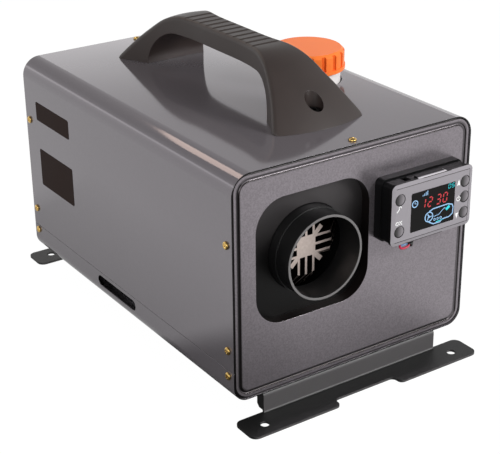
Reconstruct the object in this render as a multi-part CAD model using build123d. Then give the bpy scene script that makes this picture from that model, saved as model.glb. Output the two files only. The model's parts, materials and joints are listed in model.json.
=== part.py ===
"""Portable diesel air heater: sheet-steel case, heater unit, fuel tank, pump and wall controller.

Millimetres. +Z is up, the warm-air outlet faces -Y, and the origin is on the floor, in the
middle of the footprint. Each function below builds one piece at its place in the object.
"""
from build123d import *
from math import asin, atan2, cos, degrees, hypot, pi, radians, sin, sqrt, tan
import os

os.makedirs("parts", exist_ok=True)

# ------------------------------------------------------------------ case
case_width = 250.0
case_length = 372.0
case_height = 204.5
case_sheet = 1.0
case_top_radius = 18.0
case_bottom_radius = 14.5
seam_height = 28.5            # joint between tray and cover, above the underside of the case
seam_gap = 0.4
slot_length = 72.0            # vent slot in the left wall of the tray
slot_height = 10.5
slot_y = 14.0
slot_above_tray = 19.5

# ------------------------------------------------------------------ end panels
panel_sheet = 1.2
panel_gap = 0.3               # between a panel's rim and the case walls round it
panel_set_back = 0.5          # the panel lies this far inside the mouth of the case
panel_flange = 14.0
bead_inset = 5.4              # pressed bead, from the rim of the panel to its middle
bead_radius = 1.5
bead_depth = 1.1

# ------------------------------------------------------------------ outlet
outlet_x = -44.0              # axis of the heater unit
outlet_above_tray = 119.3
recess_width = 115.8
recess_height = 113.4
recess_radius = 28.0
recess_depth = 10.0
bulkhead_sheet = 1.2
bulkhead_margin = 12.0        # overlap of the bulkhead behind the recess flange
collar_radius = 37.5          # takes a 75 mm warm-air duct
collar_wall = 2.0
collar_reach = 16.0           # how far the rim stands in front of the case
collar_length = 17.5          # from the rim to the shoulder
shoulder_radius = 38.3
hood_wall = 2.2

# ------------------------------------------------------------------ feet
foot_sheet = 2.0
case_clearance = 21.5         # the case's underside above the floor
foot_width = 249.0
foot_depth = 30.0             # plate, front to back
foot_riser_width = 190.0
foot_flange = 28.0            # under the case
foot_bend = 3.0
foot_hole_radius = 4.0
foot_hole_x = 104.0
foot_hole_y = 200.0
foot_notch_width = 66.0
foot_notch_depth = 10.5
foot_corner = 7.0
flap_depth = 10.0
foot_bolt_radius = 3.0
foot_bolt_x = 72.0
foot_bolt_inset = 20.0        # behind the riser's front face

# ------------------------------------------------------------------ case screws
screw_radius = 1.9
screw_head_radius = 3.5
screw_head_height = 2.2
screw_length = 8.0
screw_hole_clearance = 0.15
screw_end_inset = 8.0         # from the end of the case
cover_screw_heights = (143.5, 47.5)
tray_screw_height = 23.5

# ------------------------------------------------------------------ carry handle
handle_height = 52.5          # above the case
handle_end = 146.0            # tip of a foot, from the middle
handle_foot_radius = 112.0    # of the foot's curved front, in plan
grip_half_width = 18.0
grip_flat_half_length = 30.0
flare_radius = 187.0
handle_draft = 3.0            # degrees
crown_flat = 26.0
crown_radius = 64.0
crown_angle = 34.0            # degrees of the upper bend
leg_radius = 290.0
leg_sweep = 15.0              # degrees of the leg's outer face, below the crown
handle_corner = 8.0
arch_half_length = 100.5
arch_height = 35.0
handle_edge = 4.0
handle_screw_y = 124.7
handle_bore_radius = 8.2
handle_floor = 7.0            # plastic under the screw head
handle_screw_radius = 3.0
grip_groove_count = 11
grip_groove_pitch = 11.0
grip_groove_depth = 0.8

# ------------------------------------------------------------------ fuel tank and cap
tank_left = 22.0
tank_right = 118.0
tank_front = -160.0
tank_back = 105.0
tank_height = 189.0
tank_wall = 3.0
tank_radius = 12.0
tank_pad = 3.0
neck_x = 65.0
neck_y = -27.0
neck_radius = 31.0
neck_wall = 3.0
neck_height = 24.5            # above the case
neck_hole_gap = 1.5
cap_radius = 34.4
cap_rim_radius = 35.2
cap_top_radius = 31.4
cap_bottom = 12.0             # above the case
cap_height = 19.0
cap_top = 3.0
cap_neck_gap = 0.6
cap_flute_count = 18
cap_flute_depth = 1.6
cap_flute_width = 4.6
cap_rim_height = 3.4
seal_thickness = 2.0
seat_gap = 0.3
cap_pitch = 6.0               # lift for one turn

# ------------------------------------------------------------------ heater unit
duct_radius = 54.2            # inside the shells
shell_wall = 2.2
shell_back = 100.0
shell_split = 0.3
unit_back = 141.0
nest_gap = 0.15               # between pieces that slip into each other
star_depth = 27.0             # front of the fins behind the collar's rim
star_radius = 26.0
fin_reach = 48.0
fin_thickness = 2.2
fin_spacing = 7.5
fin_back = 30.0
hub_plate = 19.0
core_radius = 31.0
core_wall = 4.0
core_front_gap = 12.0         # dome behind the front of the fins
exchanger_back = 40.0
pedestal_width = 70.0
pedestal_length = 96.0
pedestal_middle = -42.0
unit_height = 60.0            # axis above the top of the stand
gasket_thickness = 1.5
burner_radius = 23.0
burner_wall = 1.2
burner_front = -70.0
blower_radius = 40.0
blower_length = 22.0
blower_wall = 3.5
motor_radius = 22.0
motor_length = 48.0
shaft_radius = 2.5
shaft_gap = 0.05
wheel_radius = 50.0
wheel_hub_radius = 16.0
wheel_width = 20.0
wheel_front = 114.0
blade_count = 11
blade_thickness = 1.6
air_pump_radius = 35.0
air_pump_width = 8.0
air_pump_blades = 18

# ------------------------------------------------------------------ stand and pipes
stand_sheet = 2.0
stand_width = 96.0
stand_foot = 14.0
stand_front = -95.0
stand_back = 35.0
pipe_radius = 12.0
pipe_wall = 1.2
pipe_floor_gap = 8.5          # the pipes end this far above the floor
pipe_bead = 1.2
exhaust_offset = (14.0, -72.0)
intake_offset = (-14.0, -20.0)
pipe_hole_gap = 3.0

# ------------------------------------------------------------------ fuel pump and lines
pump_x = -74.5
pump_height = 24.0            # axis above the tray floor
pump_front = 58.0
pump_length = 66.0
pump_radius = 14.5
pump_bore = 5.0
piston_gap = 0.3
piston_length = 24.0
piston_stroke = 2.0
hose_radius = 2.5
hose_bore = 1.2
filter_radius = 9.0
filter_length = 26.0

# ------------------------------------------------------------------ controller
control_x = 64.0
control_above_tray = 140.6
control_width = 89.0
control_height = 56.0
control_depth = 23.0          # from the panel to the front of the bezel
bezel_thickness = 4.0
bezel_bevel = 3.6
bezel_bevel_drop = 0.9
body_wall = 1.8
cradle_depth = 8.0
screen_width = 46.5
screen_height = 34.5
screen_z = -0.7
button_radius = 4.9
button_gap = 0.5
button_x = 36.0
button_rows = (14.0, -0.5, -15.0)
button_travel = 0.8
button_dish = 18.0            # radius of the hollow in a button's face
board_thickness = 1.6
wire_radius = 0.9
wire_hole_x = 56.0
wire_hole_radius = 2.8
sleeve_radius = 2.4

# ------------------------------------------------------------------ small fits and fasteners
thread_gap = 0.08             # between a screwed or pressed piece and its hole
handle_screw_gap = 0.4
handle_screw_head = 6.0
handle_screw_head_height = 4.5
grip_groove_radius = 3.0
bolt_radius = 3.0
bolt_gap = 0.3
bolt_depth = 12.0
rivet_radius = 2.0
pipe_socket = 14.0
hose_socket = 8.0
hood_skirt = 9.0
flange_radius = 40.0
diagonal_reach = 22.0
diagonal_thickness = 4.5
glow_y = 24.0
glow_radius = 4.5
sensor_y = -20.0
blade_root_pitch = 52.0
blade_tip_pitch = 24.0
ecu_y = 82.0
ecu_length = 34.0
cable_radius = 2.5
cable_entry_y = 82.0
fuel_port_y = -50.0
port_radius = 4.0
tank_port_y = 80.0
tank_port_z = 44.0
filter_x = -12.0
hose_turn_y = 150.0
pump_barrel = 44.0
control_radius = 5.0
body_inset = 1.0
cradle_grow = 0.3
cradle_wall = 1.2
cradle_back = 1.6
cradle_screw_x = 30.0
cradle_screw_radius = 1.9
screw_head_space = 2.0
clip_depth = 7.0
clip_rise = 0.9
button_flange = 5.9
well_depth = 1.6
screen_recess = 0.7

# ------------------------------------------------------------------ worked out
case_top = case_clearance + case_height
case_middle = case_clearance + case_height / 2
seam = case_clearance + seam_height
mouth_front = -case_length / 2
mouth_back = case_length / 2
inner_floor = case_clearance + case_sheet
inner_top = case_top - case_sheet
panel_inset = case_sheet + panel_gap
panel_face = mouth_front + panel_set_back
outlet_z = case_clearance + outlet_above_tray
rim_y = mouth_front - collar_reach
shoulder_y = rim_y + collar_length
bulkhead_y = panel_face + recess_depth
star_y = rim_y + star_depth
shell_front = bulkhead_y + bulkhead_sheet + 8.0
stand_top = outlet_z - unit_height
control_z = case_clearance + control_above_tray
control_face = panel_face - control_depth
cap_z = case_top + cap_bottom
neck_top = cap_z + cap_height - cap_top - 0.1 - seal_thickness - seat_gap
pedestal_bottom = stand_top + gasket_thickness
wire_hole_z = control_z - control_height / 2 - 4.0


# ------------------------------------------------------------------ helpers
def block(x0, x1, y0, y1, z0, z1):
    """Box between two corners."""
    return Pos((x0 + x1) / 2, (y0 + y1) / 2, (z0 + z1) / 2) * Box(x1 - x0, y1 - y0, z1 - z0)


def post(x, y, radius, z0, z1):
    """Upright cylinder."""
    return Pos(x, y, (z0 + z1) / 2) * Cylinder(radius, z1 - z0)


def bar(x, z, radius, y0, y1):
    """Cylinder that lies front to back."""
    return Pos(x, (y0 + y1) / 2, z) * Rot(90, 0, 0) * Cylinder(radius, y1 - y0)


def tube(x, z, radius, bore, y0, y1):
    """Pipe that lies front to back."""
    return bar(x, z, radius, y0, y1) - bar(x, z, bore, y0 - 1, y1 + 1)


def along_y(sketch, y0, y1):
    """Front-view sketch (X right, Z up) made solid from y0 back to y1."""
    plane = Plane(origin=(0, y1, 0), x_dir=(1, 0, 0), z_dir=(0, -1, 0))
    return extrude(plane * sketch, y1 - y0)


def along_x(sketch, x0, x1):
    """Side-view sketch (Y right, Z up) made solid from x0 to x1."""
    plane = Plane(origin=(x0, 0, 0), x_dir=(0, 1, 0), z_dir=(1, 0, 0))
    return extrude(plane * sketch, x1 - x0)


def along_z(sketch, z0, z1):
    """Plan-view sketch made solid from z0 up to z1."""
    return extrude(Pos(0, 0, z0) * sketch, z1 - z0)


def turned(points, x, z):
    """Ring turned about a front-to-back axis, from (radius, y) corners."""
    plane = Plane(origin=(x, 0, z), x_dir=(1, 0, 0), z_dir=(0, 0, 1))
    return revolve(plane * make_face(Polyline(*points, close=True)), Axis((x, 0, z), (0, 1, 0)))


def half_turn(part):
    """The same piece at the other end of the case."""
    return Rot(0, 0, 180) * part


def one_solid(part):
    """Plain solid from a boolean result."""
    solids = part.solids()
    return solids[0] if len(solids) == 1 else Compound(children=list(solids))


# ------------------------------------------------------------------ case
def case_outline(inset=0.0):
    """Section of the case, front view."""
    section = Rectangle(case_width - 2 * inset, case_height - 2 * inset)
    section = fillet(section.vertices().group_by(Axis.Y)[-1], case_top_radius - inset)
    section = fillet(section.vertices().group_by(Axis.Y)[0], case_bottom_radius - inset)
    return Pos(0, case_middle) * section


def case_tube():
    return along_y(case_outline() - case_outline(case_sheet), mouth_front, mouth_back)


def side_screw_places():
    """(side, y, z) of each screw in the side walls."""
    heights = cover_screw_heights + (tray_screw_height,)
    return [(side, end * (mouth_back - screw_end_inset), case_clearance + height)
            for side in (-1, 1) for end in (-1, 1) for height in heights]


def screw_holes():
    """Cutters for the case screws."""
    radius = screw_radius + screw_hole_clearance
    reach = 2 * screw_length
    cutters = []
    for side, y, z in side_screw_places():
        cutters.append(Pos(side * case_width / 2, y, z) * Rot(0, 90, 0) * Cylinder(radius, reach))
    for end in (-1, 1):
        y = end * (mouth_back - screw_end_inset)
        cutters.append(Pos(0, y, case_top) * Cylinder(radius, reach))
    return cutters


def cover_shell():
    lower = block(-case_width, case_width, -case_length, case_length, 0, seam + seam_gap / 2)
    cover = case_tube() - lower
    cover -= post(neck_x, neck_y, neck_radius + neck_hole_gap, case_top - 5, case_top + 5)
    for end in (-1, 1):
        cover -= post(0, end * handle_screw_y, handle_screw_radius + 0.3, case_top - 5, case_top + 5)
    return cover - screw_holes()


def base_tray():
    upper = block(-case_width, case_width, -case_length, case_length, seam - seam_gap / 2, 2 * case_top)
    tray = case_tube() - upper
    slot = Pos(slot_y, case_clearance + slot_above_tray) * SlotOverall(slot_length, slot_height)
    tray -= along_x(slot, -case_width / 2 - 1, -case_width / 2 + 3)
    for x, y in pipe_places():
        tray -= post(x, y, pipe_radius + pipe_hole_gap, case_clearance - 1, inner_floor + 1)
    for x, y in foot_bolt_places():
        tray -= post(x, y, foot_bolt_radius + bolt_gap, case_clearance - 1, inner_floor + 1)
    for x, y in stand_rivet_places():
        tray -= post(x, y, rivet_radius + thread_gap, case_clearance - 1, inner_floor + 1)
    return tray - screw_holes()


# ------------------------------------------------------------------ end panels
def pressed_pan():
    """Panel with a rim turned inwards and a bead pressed round its face, for the front."""
    outer = along_y(case_outline(panel_inset), panel_face, panel_face + panel_flange)
    outer = fillet(outer.edges().group_by(Axis.Y)[0], panel_sheet)
    hollow = along_y(case_outline(panel_inset + panel_sheet), panel_face + panel_sheet,
                     panel_face + panel_flange + 1)
    pan = outer - hollow
    centre = panel_face - bead_radius + bead_depth
    path = Plane(origin=(0, centre, 0), x_dir=(1, 0, 0), z_dir=(0, -1, 0)) * \
        case_outline(panel_inset + bead_inset).face().outer_wire()
    start = Plane(origin=path @ 0, z_dir=path % 0)
    back = sweep(start * Circle(bead_radius + panel_sheet), path=path)
    back -= along_y(Rectangle(2 * case_width, 4 * case_height), panel_face - 20, panel_face + 0.1)
    return pan + back - sweep(start * Circle(bead_radius), path=path)


def recess_outline(grow=0.0):
    section = RectangleRounded(recess_width + 2 * grow, recess_height + 2 * grow, recess_radius + grow)
    return Pos(outlet_x, outlet_z) * section


def front_panel():
    panel = pressed_pan()
    panel += along_y(recess_outline(panel_sheet), panel_face + 0.1, bulkhead_y)
    panel -= along_y(recess_outline(), panel_face - 1, bulkhead_y + 1)
    for side in (-1, 1):
        panel -= bar(control_x + side * cradle_screw_x, control_z, cradle_screw_radius + thread_gap,
                     panel_face - 1, panel_face + 3)
    panel -= bar(wire_hole_x, wire_hole_z, wire_hole_radius, panel_face - 1, panel_face + 4)
    return panel - screw_holes()


grille_radius = 50.0
grille_slot = 5.0
grille_pitch = 9.0
gland_x = -80.0
gland_above_tray = 34.0
gland_radius = 8.0


def rear_panel():
    """Plain panel with slots in front of the heater's intake, and a hole for the power gland."""
    panel = half_turn(pressed_pan())
    rows = int(grille_radius / grille_pitch)
    y = mouth_back - panel_set_back
    for row in range(-rows, rows + 1):
        height = row * grille_pitch
        half = sqrt(grille_radius ** 2 - height ** 2)
        slot = Pos(outlet_x, outlet_z + height) * SlotOverall(2 * half, grille_slot)
        panel -= along_y(slot, y - 3, y + 1)
    panel -= bar(gland_x, case_clearance + gland_above_tray, gland_radius + thread_gap, y - 3, y + 1)
    return panel - screw_holes()


def bulkhead():
    plate = along_y(recess_outline(bulkhead_margin), bulkhead_y, bulkhead_y + bulkhead_sheet)
    return plate - bar(outlet_x, outlet_z, shoulder_radius + 0.6, bulkhead_y - 1, bulkhead_y + 3)


# ------------------------------------------------------------------ feet
def foot_bolt_places():
    y = mouth_back - foot_bolt_inset
    return [(x, end * y) for x in (-foot_bolt_x, foot_bolt_x) for end in (-1, 1)]


def front_foot():
    """Bent strip: plate on the floor, riser, and flange under the case."""
    riser_face = mouth_front + 0.5
    plate_front = -foot_hole_y - foot_depth / 2 + 1.5
    plate_back = plate_front + foot_depth
    middle = (plate_front + plate_back) / 2
    plate = Pos(0, middle) * Rectangle(foot_width, foot_depth)
    notch = Pos(0, plate_front) * Rectangle(foot_notch_width, 2 * foot_notch_depth)
    plate = fillet(plate.vertices(), foot_corner)
    plate -= notch
    notch_corners = plate.vertices().filter_by(lambda v: abs(abs(v.X) - foot_notch_width / 2) < 0.1)
    plate = fillet(notch_corners, foot_notch_depth / 2 - 0.4)
    foot = along_z(plate, 0, foot_sheet)
    half = foot_sheet / 2
    path = FilletPolyline((riser_face - 8, half), (riser_face + half, half),
                          (riser_face + half, case_clearance - half),
                          (riser_face + foot_flange, case_clearance - half), radius=foot_bend)
    foot += along_x(trace(path, foot_sheet), -foot_riser_width / 2, foot_riser_width / 2)
    for side in (-1, 1):
        x0, x1 = sorted((side * foot_riser_width / 2, side * (foot_riser_width / 2 - foot_sheet)))
        flap = block(x0, x1, riser_face + 1, riser_face + flap_depth, 4.0, case_clearance - foot_sheet)
        foot += chamfer(flap.edges().filter_by(Axis.X).group_by(Axis.Z)[0].sort_by(Axis.Y)[-1], 3)
    for side in (-1, 1):
        foot -= post(side * foot_hole_x, -foot_hole_y, foot_hole_radius, -1, foot_sheet + 1)
    for x, y in foot_bolt_places():
        foot -= post(x, y, foot_bolt_radius + bolt_gap, case_clearance / 2, case_clearance + 1)
    return foot


def foot_bolts():
    """Hex-head bolts through the foot flanges and the tray."""
    flange_under = case_clearance - foot_sheet
    bolts = []
    for x, y in foot_bolt_places():
        head = Pos(x, y, flange_under - 4) * extrude(RegularPolygon(5.5, 6), 4)
        bolts.append(head + post(x, y, foot_bolt_radius, flange_under - 4, inner_floor + 7))
    return bolts


def foot_nuts():
    nuts = []
    for x, y in foot_bolt_places():
        nut = Pos(x, y, inner_floor) * extrude(RegularPolygon(5.5, 6), 5)
        nuts.append(nut - post(x, y, foot_bolt_radius + thread_gap, inner_floor - 1, inner_floor + 8))
    return nuts


# ------------------------------------------------------------------ case screws
def pan_screw():
    """Pan-head screw that stands on its axis: head above z = 0, shank below."""
    crown = screw_head_radius * 1.6
    lift = crown - sqrt(crown ** 2 - (screw_head_radius - 0.6) ** 2)
    rim = screw_head_height - lift
    profile = Polyline((0, -screw_length), (screw_radius, -screw_length), (screw_radius, 0),
                       (screw_head_radius, 0), (screw_head_radius, rim * 0.6),
                       (screw_head_radius - 0.6, rim))
    dome = RadiusArc((screw_head_radius - 0.6, rim), (0, screw_head_height), -crown)
    shut = Line((0, screw_head_height), (0, -screw_length))
    return revolve(Plane.XZ * make_face([*profile.edges(), dome, shut]), Axis.Z)


def case_screws():
    screw = pan_screw()
    placed = []
    for side, y, z in side_screw_places():
        placed.append(Pos(side * case_width / 2, y, z) * Rot(0, side * 90, 0) * screw)
    for end in (-1, 1):
        placed.append(Pos(0, end * (mouth_back - screw_end_inset), case_top) * screw)
    return placed


# ------------------------------------------------------------------ carry handle
def handle_plan():
    """Plan of the handle at the case: straight grip that flares into curved feet."""
    reach = handle_end - 2.0
    middle = (grip_flat_half_length + reach) / 2

    def side(y):
        return grip_half_width + flare_radius - sqrt(flare_radius ** 2 - (y - grip_flat_half_length) ** 2)

    flare = ThreePointArc((side(grip_flat_half_length), grip_flat_half_length),
                          (side(middle), middle), (side(reach), reach))
    quarter = make_face([
        Line((0, 0), (grip_half_width, 0)),
        Line((grip_half_width, 0), flare @ 0),
        flare,
        Line(flare @ 1, (side(reach), handle_end)),
        Line((side(reach), handle_end), (0, handle_end)),
        Line((0, handle_end), (0, 0))])
    half = quarter + mirror(quarter, Plane.YZ)
    whole = half + mirror(half, Plane.XZ)
    offset = handle_end - handle_foot_radius
    ends = Rectangle(2 * handle_foot_radius, 2 * offset)
    for end in (-1, 1):
        ends += Pos(0, end * offset) * Circle(handle_foot_radius)
    plan = (whole & ends).faces()[0]
    corners = plan.vertices().filter_by(lambda v: abs(v.X) > 2 * grip_half_width)
    return fillet(corners, handle_corner)


def crown_half_section():
    """Half section of the crown that the legs' outer faces follow, in radius and height."""
    top = case_top + handle_height
    bend = radians(crown_angle)

    def on_crown(angle):
        return (crown_flat + crown_radius * sin(angle), top - crown_radius * (1 - cos(angle)))

    def on_leg(angle):
        x, z = on_crown(bend)
        return (x + leg_radius * (sin(angle) - sin(bend)), z - leg_radius * (cos(bend) - cos(angle)))

    crown = ThreePointArc((crown_flat, top), on_crown(bend / 2), on_crown(bend))
    foot_angle = radians(crown_angle + leg_sweep)
    leg = ThreePointArc(on_crown(bend), on_leg((bend + foot_angle) / 2), on_leg(foot_angle))
    end = leg @ 1
    base = min(end.Y, case_top) - 5
    return make_face([Line((0, top), (crown_flat, top)), crown, leg, Line(end, (end.X, base)),
                      Line((end.X, base), (0, base)), Line((0, base), (0, top))])


def rim_edges(body):
    """Edges between a body's steep sides and its crown."""
    steep = body.faces().filter_by(lambda f: abs(f.normal_at(f.center()).Z) < 0.3)
    crown = body.faces().filter_by(lambda f: f.normal_at(f.center()).Z >= 0.3).edges()
    return ShapeList(e for e in steep.edges() if any(e.is_same(other) for other in crown))


def carry_handle():
    """Moulded bridge handle: flared legs with a crowned outer face, and an arch for the hand."""
    offset = handle_end - handle_foot_radius
    section = crown_half_section()
    front_view = Plane(origin=(0, offset, 0), x_dir=(1, 0, 0), z_dir=(0, -1, 0))
    roof = extrude(front_view * (section + mirror(section, Plane.YZ)), 2 * offset)
    for end in (-1, 1):
        plane = Plane(origin=(0, end * offset, 0), x_dir=(1, 0, 0), z_dir=(0, -1, 0))
        roof += revolve(plane * section, Axis((0, end * offset, 0), (0, 0, end)), 180)
    body = extrude(Pos(0, 0, case_top) * handle_plan(), handle_height + 5, taper=handle_draft) & roof
    body = fillet(rim_edges(body), handle_edge)
    arch = Rectangle(2 * arch_half_length, 2 * arch_height)
    arch = fillet(arch.vertices().group_by(Axis.Y)[-1], arch_height - 0.5)
    body -= along_x(Pos(0, case_top) * arch, -handle_end, handle_end)
    for end in (-1, 1):
        y = end * handle_screw_y
        body -= post(0, y, handle_bore_radius, case_top + handle_floor, case_top + handle_height)
        body -= post(0, y, handle_screw_radius + handle_screw_gap, case_top - 1, case_top + handle_height)
    for step in range(grip_groove_count):
        y = (step - (grip_groove_count - 1) / 2) * grip_groove_pitch
        z = case_top + handle_height + grip_groove_radius - grip_groove_depth
        body -= Pos(0, y, z) * Rot(0, 90, 0) * Cylinder(grip_groove_radius, 4 * grip_half_width)
    return body


def handle_screws():
    """Screws down through the handle's feet and the cover, each with its nut underneath."""
    screws = []
    for end in (-1, 1):
        y = end * handle_screw_y
        seat = case_top + handle_floor
        screw = post(0, y, handle_screw_head, seat, seat + handle_screw_head_height)
        screw -= Pos(0, y, seat + handle_screw_head_height - 1.5) * extrude(RegularPolygon(3.0, 6), 3)
        screws.append(screw + post(0, y, handle_screw_radius, inner_top - 9, seat + 1))
        nut = Pos(0, y, inner_top - 6) * extrude(RegularPolygon(6.0, 6), 6)
        screws.append(nut - post(0, y, handle_screw_radius + thread_gap, inner_top - 12, case_top))
    return screws


# ------------------------------------------------------------------ fuel tank and cap
def fuel_tank():
    """Blow-moulded tank with the filler neck that stands out of the cover."""
    bottom = inner_floor + tank_pad
    top = bottom + tank_height

    def shell(inset):
        body = block(tank_left + inset, tank_right - inset, tank_front + inset, tank_back - inset,
                     bottom + inset, top - inset)
        body = fillet(body.edges().filter_by(Axis.Z), tank_radius - inset)
        return fillet(body.faces().filter_by(Axis.Z).edges(), tank_radius / 2 - inset / 2)

    tank = shell(0) + post(neck_x, neck_y, neck_radius, top - 1, neck_top)
    tank -= shell(tank_wall)
    tank -= post(neck_x, neck_y, neck_radius - neck_wall, top - tank_wall - 1, neck_top + 1)
    return tank - Pos(tank_left, tank_port_y, tank_port_z) * Rot(0, 90, 0) * Cylinder(port_radius, 20)


def tank_pads():
    """Foam strips that bed the tank on the tray and hold it down under the cover."""
    pads = []
    bottom = inner_floor + tank_pad
    for y in (tank_front + 35, tank_back - 35):
        pads.append(block(tank_left + 20, tank_right - 20, y - 15, y + 15, inner_floor, bottom))
        pads.append(block(tank_left + 20, tank_right - 20, y - 15, y + 15, bottom + tank_height, inner_top))
    return pads


def tank_outlet():
    """Barbed fitting in the tank's wall, with a nut on each side of the wall."""
    x = tank_left
    turn = Pos(x, tank_port_y, tank_port_z) * Rot(0, 90, 0)
    fitting = turn * Pos(0, 0, -6) * Cylinder(port_radius - thread_gap, 22)
    fitting += turn * Pos(0, 0, -2.0) * extrude(RegularPolygon(8.0, 6), -4)
    fitting += turn * Pos(0, 0, -2.0) * extrude(RegularPolygon(8.0, 6), 2)
    fitting += turn * Pos(0, 0, tank_wall) * extrude(RegularPolygon(7.0, 6), 3)
    return fitting - turn * Pos(0, 0, -6) * Cylinder(hose_bore, 40)


def cap_flutes():
    """Cutters for the finger flutes round the cap."""
    cutters = []
    for step in range(cap_flute_count):
        place = Pos(neck_x, neck_y, 0) * Rot(0, 0, step * 360 / cap_flute_count)
        depth = cap_flute_depth + 1
        middle = cap_z + cap_rim_height + cap_height / 2
        cutter = Pos(cap_radius + 1 - depth / 2, 0, middle) * Box(depth, cap_flute_width, cap_height)
        cutters.append(place * fillet(cutter.edges().filter_by(Axis.Z).group_by(Axis.X)[0], 1.2))
    return cutters


def filler_cap():
    """Screw cap: fluted skirt, flat rim at the bottom and a raised disc on top."""
    top = cap_z + cap_height
    edge = cap_radius - cap_top_radius
    profile = Polyline((0, cap_z), (cap_rim_radius, cap_z), (cap_rim_radius, cap_z + cap_rim_height),
                       (cap_radius, cap_z + cap_rim_height), (cap_radius, top - edge),
                       (cap_top_radius, top), (0, top), close=True)
    plane = Plane(origin=(neck_x, neck_y, 0), x_dir=(1, 0, 0), z_dir=(0, -1, 0))
    cap = revolve(plane * make_face(profile), Axis((neck_x, neck_y, 0), (0, 0, 1)))
    cap -= cap_flutes()
    hollow = neck_radius + cap_neck_gap
    return cap - post(neck_x, neck_y, hollow, cap_z - 1, top - cap_top)


def cap_seal():
    """Rubber ring that the cap presses on the neck."""
    top = cap_z + cap_height - cap_top - 0.1
    seal = post(neck_x, neck_y, neck_radius, top - seal_thickness, top)
    return seal - post(neck_x, neck_y, neck_radius - neck_wall - 1, top - 5, top + 5)


# ------------------------------------------------------------------ stand and pipes
def stand_section():
    """Bent strip of the stand, front view: two feet, two legs and the table."""
    half = stand_sheet / 2
    left = outlet_x - stand_width / 2
    right = outlet_x + stand_width / 2
    low = inner_floor + half
    high = stand_top - half
    path = FilletPolyline((left - stand_foot, low), (left, low), (left, high),
                          (right, high), (right, low), (right + stand_foot, low), radius=3)
    return trace(path, stand_sheet)


def stand_bolt_places():
    x = pedestal_width / 2 - 6
    y = pedestal_length / 2 - 6
    return [(outlet_x + i * x, pedestal_middle + j * y) for i in (-1, 1) for j in (-1, 1)]


def stand_rivet_places():
    x = stand_width / 2 + stand_foot / 2 + 1
    return [(outlet_x + i * x, y) for i in (-1, 1) for y in (stand_front + 15, stand_back - 15)]


def heater_stand():
    stand = along_y(stand_section(), stand_front, stand_back)
    for x, y in pipe_places():
        stand -= post(x, y, pipe_radius + 1.0, stand_top - 5, stand_top + 5)
    for x, y in stand_bolt_places():
        stand -= post(x, y, bolt_radius + bolt_gap, stand_top - 5, stand_top + 5)
    for x, y in stand_rivet_places():
        stand -= post(x, y, rivet_radius + thread_gap, inner_floor - 1, inner_floor + 5)
    return stand - post(pump_x, fuel_port_y, hose_radius + 1.0, stand_top - 5, stand_top + 5)


def stand_rivets():
    rivets = []
    for x, y in stand_rivet_places():
        rivet = post(x, y, rivet_radius, case_clearance, inner_floor + stand_sheet)
        rivet += post(x, y, 2 * rivet_radius, case_clearance - 1.5, case_clearance)
        rivets.append(rivet + post(x, y, 2 * rivet_radius, inner_floor + stand_sheet, inner_floor + 3.5))
    return rivets


def mount_gasket():
    """Gasket between the stand and the heater's pedestal."""
    top = stand_top + gasket_thickness
    gasket = along_z(Pos(outlet_x, pedestal_middle) * pedestal_outline(), stand_top, top)
    for x, y in pipe_places():
        gasket -= post(x, y, pipe_radius + 1.0, stand_top - 1, top + 1)
    for x, y in stand_bolt_places():
        gasket -= post(x, y, bolt_radius + bolt_gap, stand_top - 1, top + 1)
    return gasket - post(pump_x, fuel_port_y, hose_radius + 0.5, stand_top - 1, top + 1)


def heater_bolts():
    """Bolts from under the stand into the pedestal."""
    bolts = []
    under = stand_top - stand_sheet
    for x, y in stand_bolt_places():
        head = Pos(x, y, under - 4) * extrude(RegularPolygon(5.0, 6), 4)
        bolts.append(head + post(x, y, bolt_radius, under - 4, pedestal_bottom + bolt_depth))
    return bolts


def pipe(x, y):
    """Stub from the pedestal down through the case floor, with a bead that stops the hose."""
    top = pedestal_bottom + pipe_socket
    stub = post(x, y, pipe_radius, pipe_floor_gap, top)
    stub += post(x, y, pipe_radius + pipe_bead, inner_floor, inner_floor + 2 * pipe_bead)
    return stub - post(x, y, pipe_radius - pipe_wall, 0, top + 1)


# ------------------------------------------------------------------ heater unit
def pedestal_outline():
    return RectangleRounded(pedestal_width, pedestal_length, 6)


def heater_shell(upper):
    """Half of the tube that guides the air round the exchanger."""
    shell = tube(outlet_x, outlet_z, duct_radius + shell_wall, duct_radius, shell_front, shell_back)
    big = 3 * duct_radius
    half = shell_split / 2
    if upper:
        shell &= block(outlet_x - big, outlet_x + big, -400, 400, outlet_z + half, outlet_z + big)
        return shell - post(outlet_x, cable_entry_y, cable_radius + 1, outlet_z, outlet_z + big)
    shell &= block(outlet_x - big, outlet_x + big, -400, 400, outlet_z - big, outlet_z - half)
    opening = Pos(outlet_x, pedestal_middle) * offset(pedestal_outline(), 0.5)
    return shell - along_z(opening, outlet_z - big, outlet_z - duct_radius / 2)


def outlet_collar():
    """Hood on the front of the unit: spigot for the duct, shoulder, cone and skirt."""
    outer = duct_radius + shell_wall
    skirt = duct_radius - nest_gap
    wall = hood_wall
    cone = shell_front - nest_gap
    cone_start = bulkhead_y + bulkhead_sheet + 0.3
    bore = collar_radius - collar_wall
    points = [(collar_radius, rim_y), (collar_radius, shoulder_y), (shoulder_radius, shoulder_y),
              (shoulder_radius, cone_start), (outer, cone - 2), (outer, cone), (skirt, cone),
              (skirt, cone + hood_skirt), (skirt - wall, cone + hood_skirt), (skirt - wall, cone - 1),
              (bore, cone_start - 1), (bore, rim_y)]
    return turned(points, outlet_x, outlet_z)


def fin_rows(reach, core):
    """Front view of the fins: parallel plates in four directions, and diagonals between them."""
    sketch = Circle(core)
    for angle in (0, 90):
        for step in (-1, 0, 1):
            sketch += Rot(0, 0, angle) * Pos(0, step * fin_spacing) * Rectangle(2 * reach, fin_thickness)
    for angle in (45, 135):
        sketch += Rot(0, 0, angle) * Rectangle(2 * diagonal_reach, diagonal_thickness)
    return sketch


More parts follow.
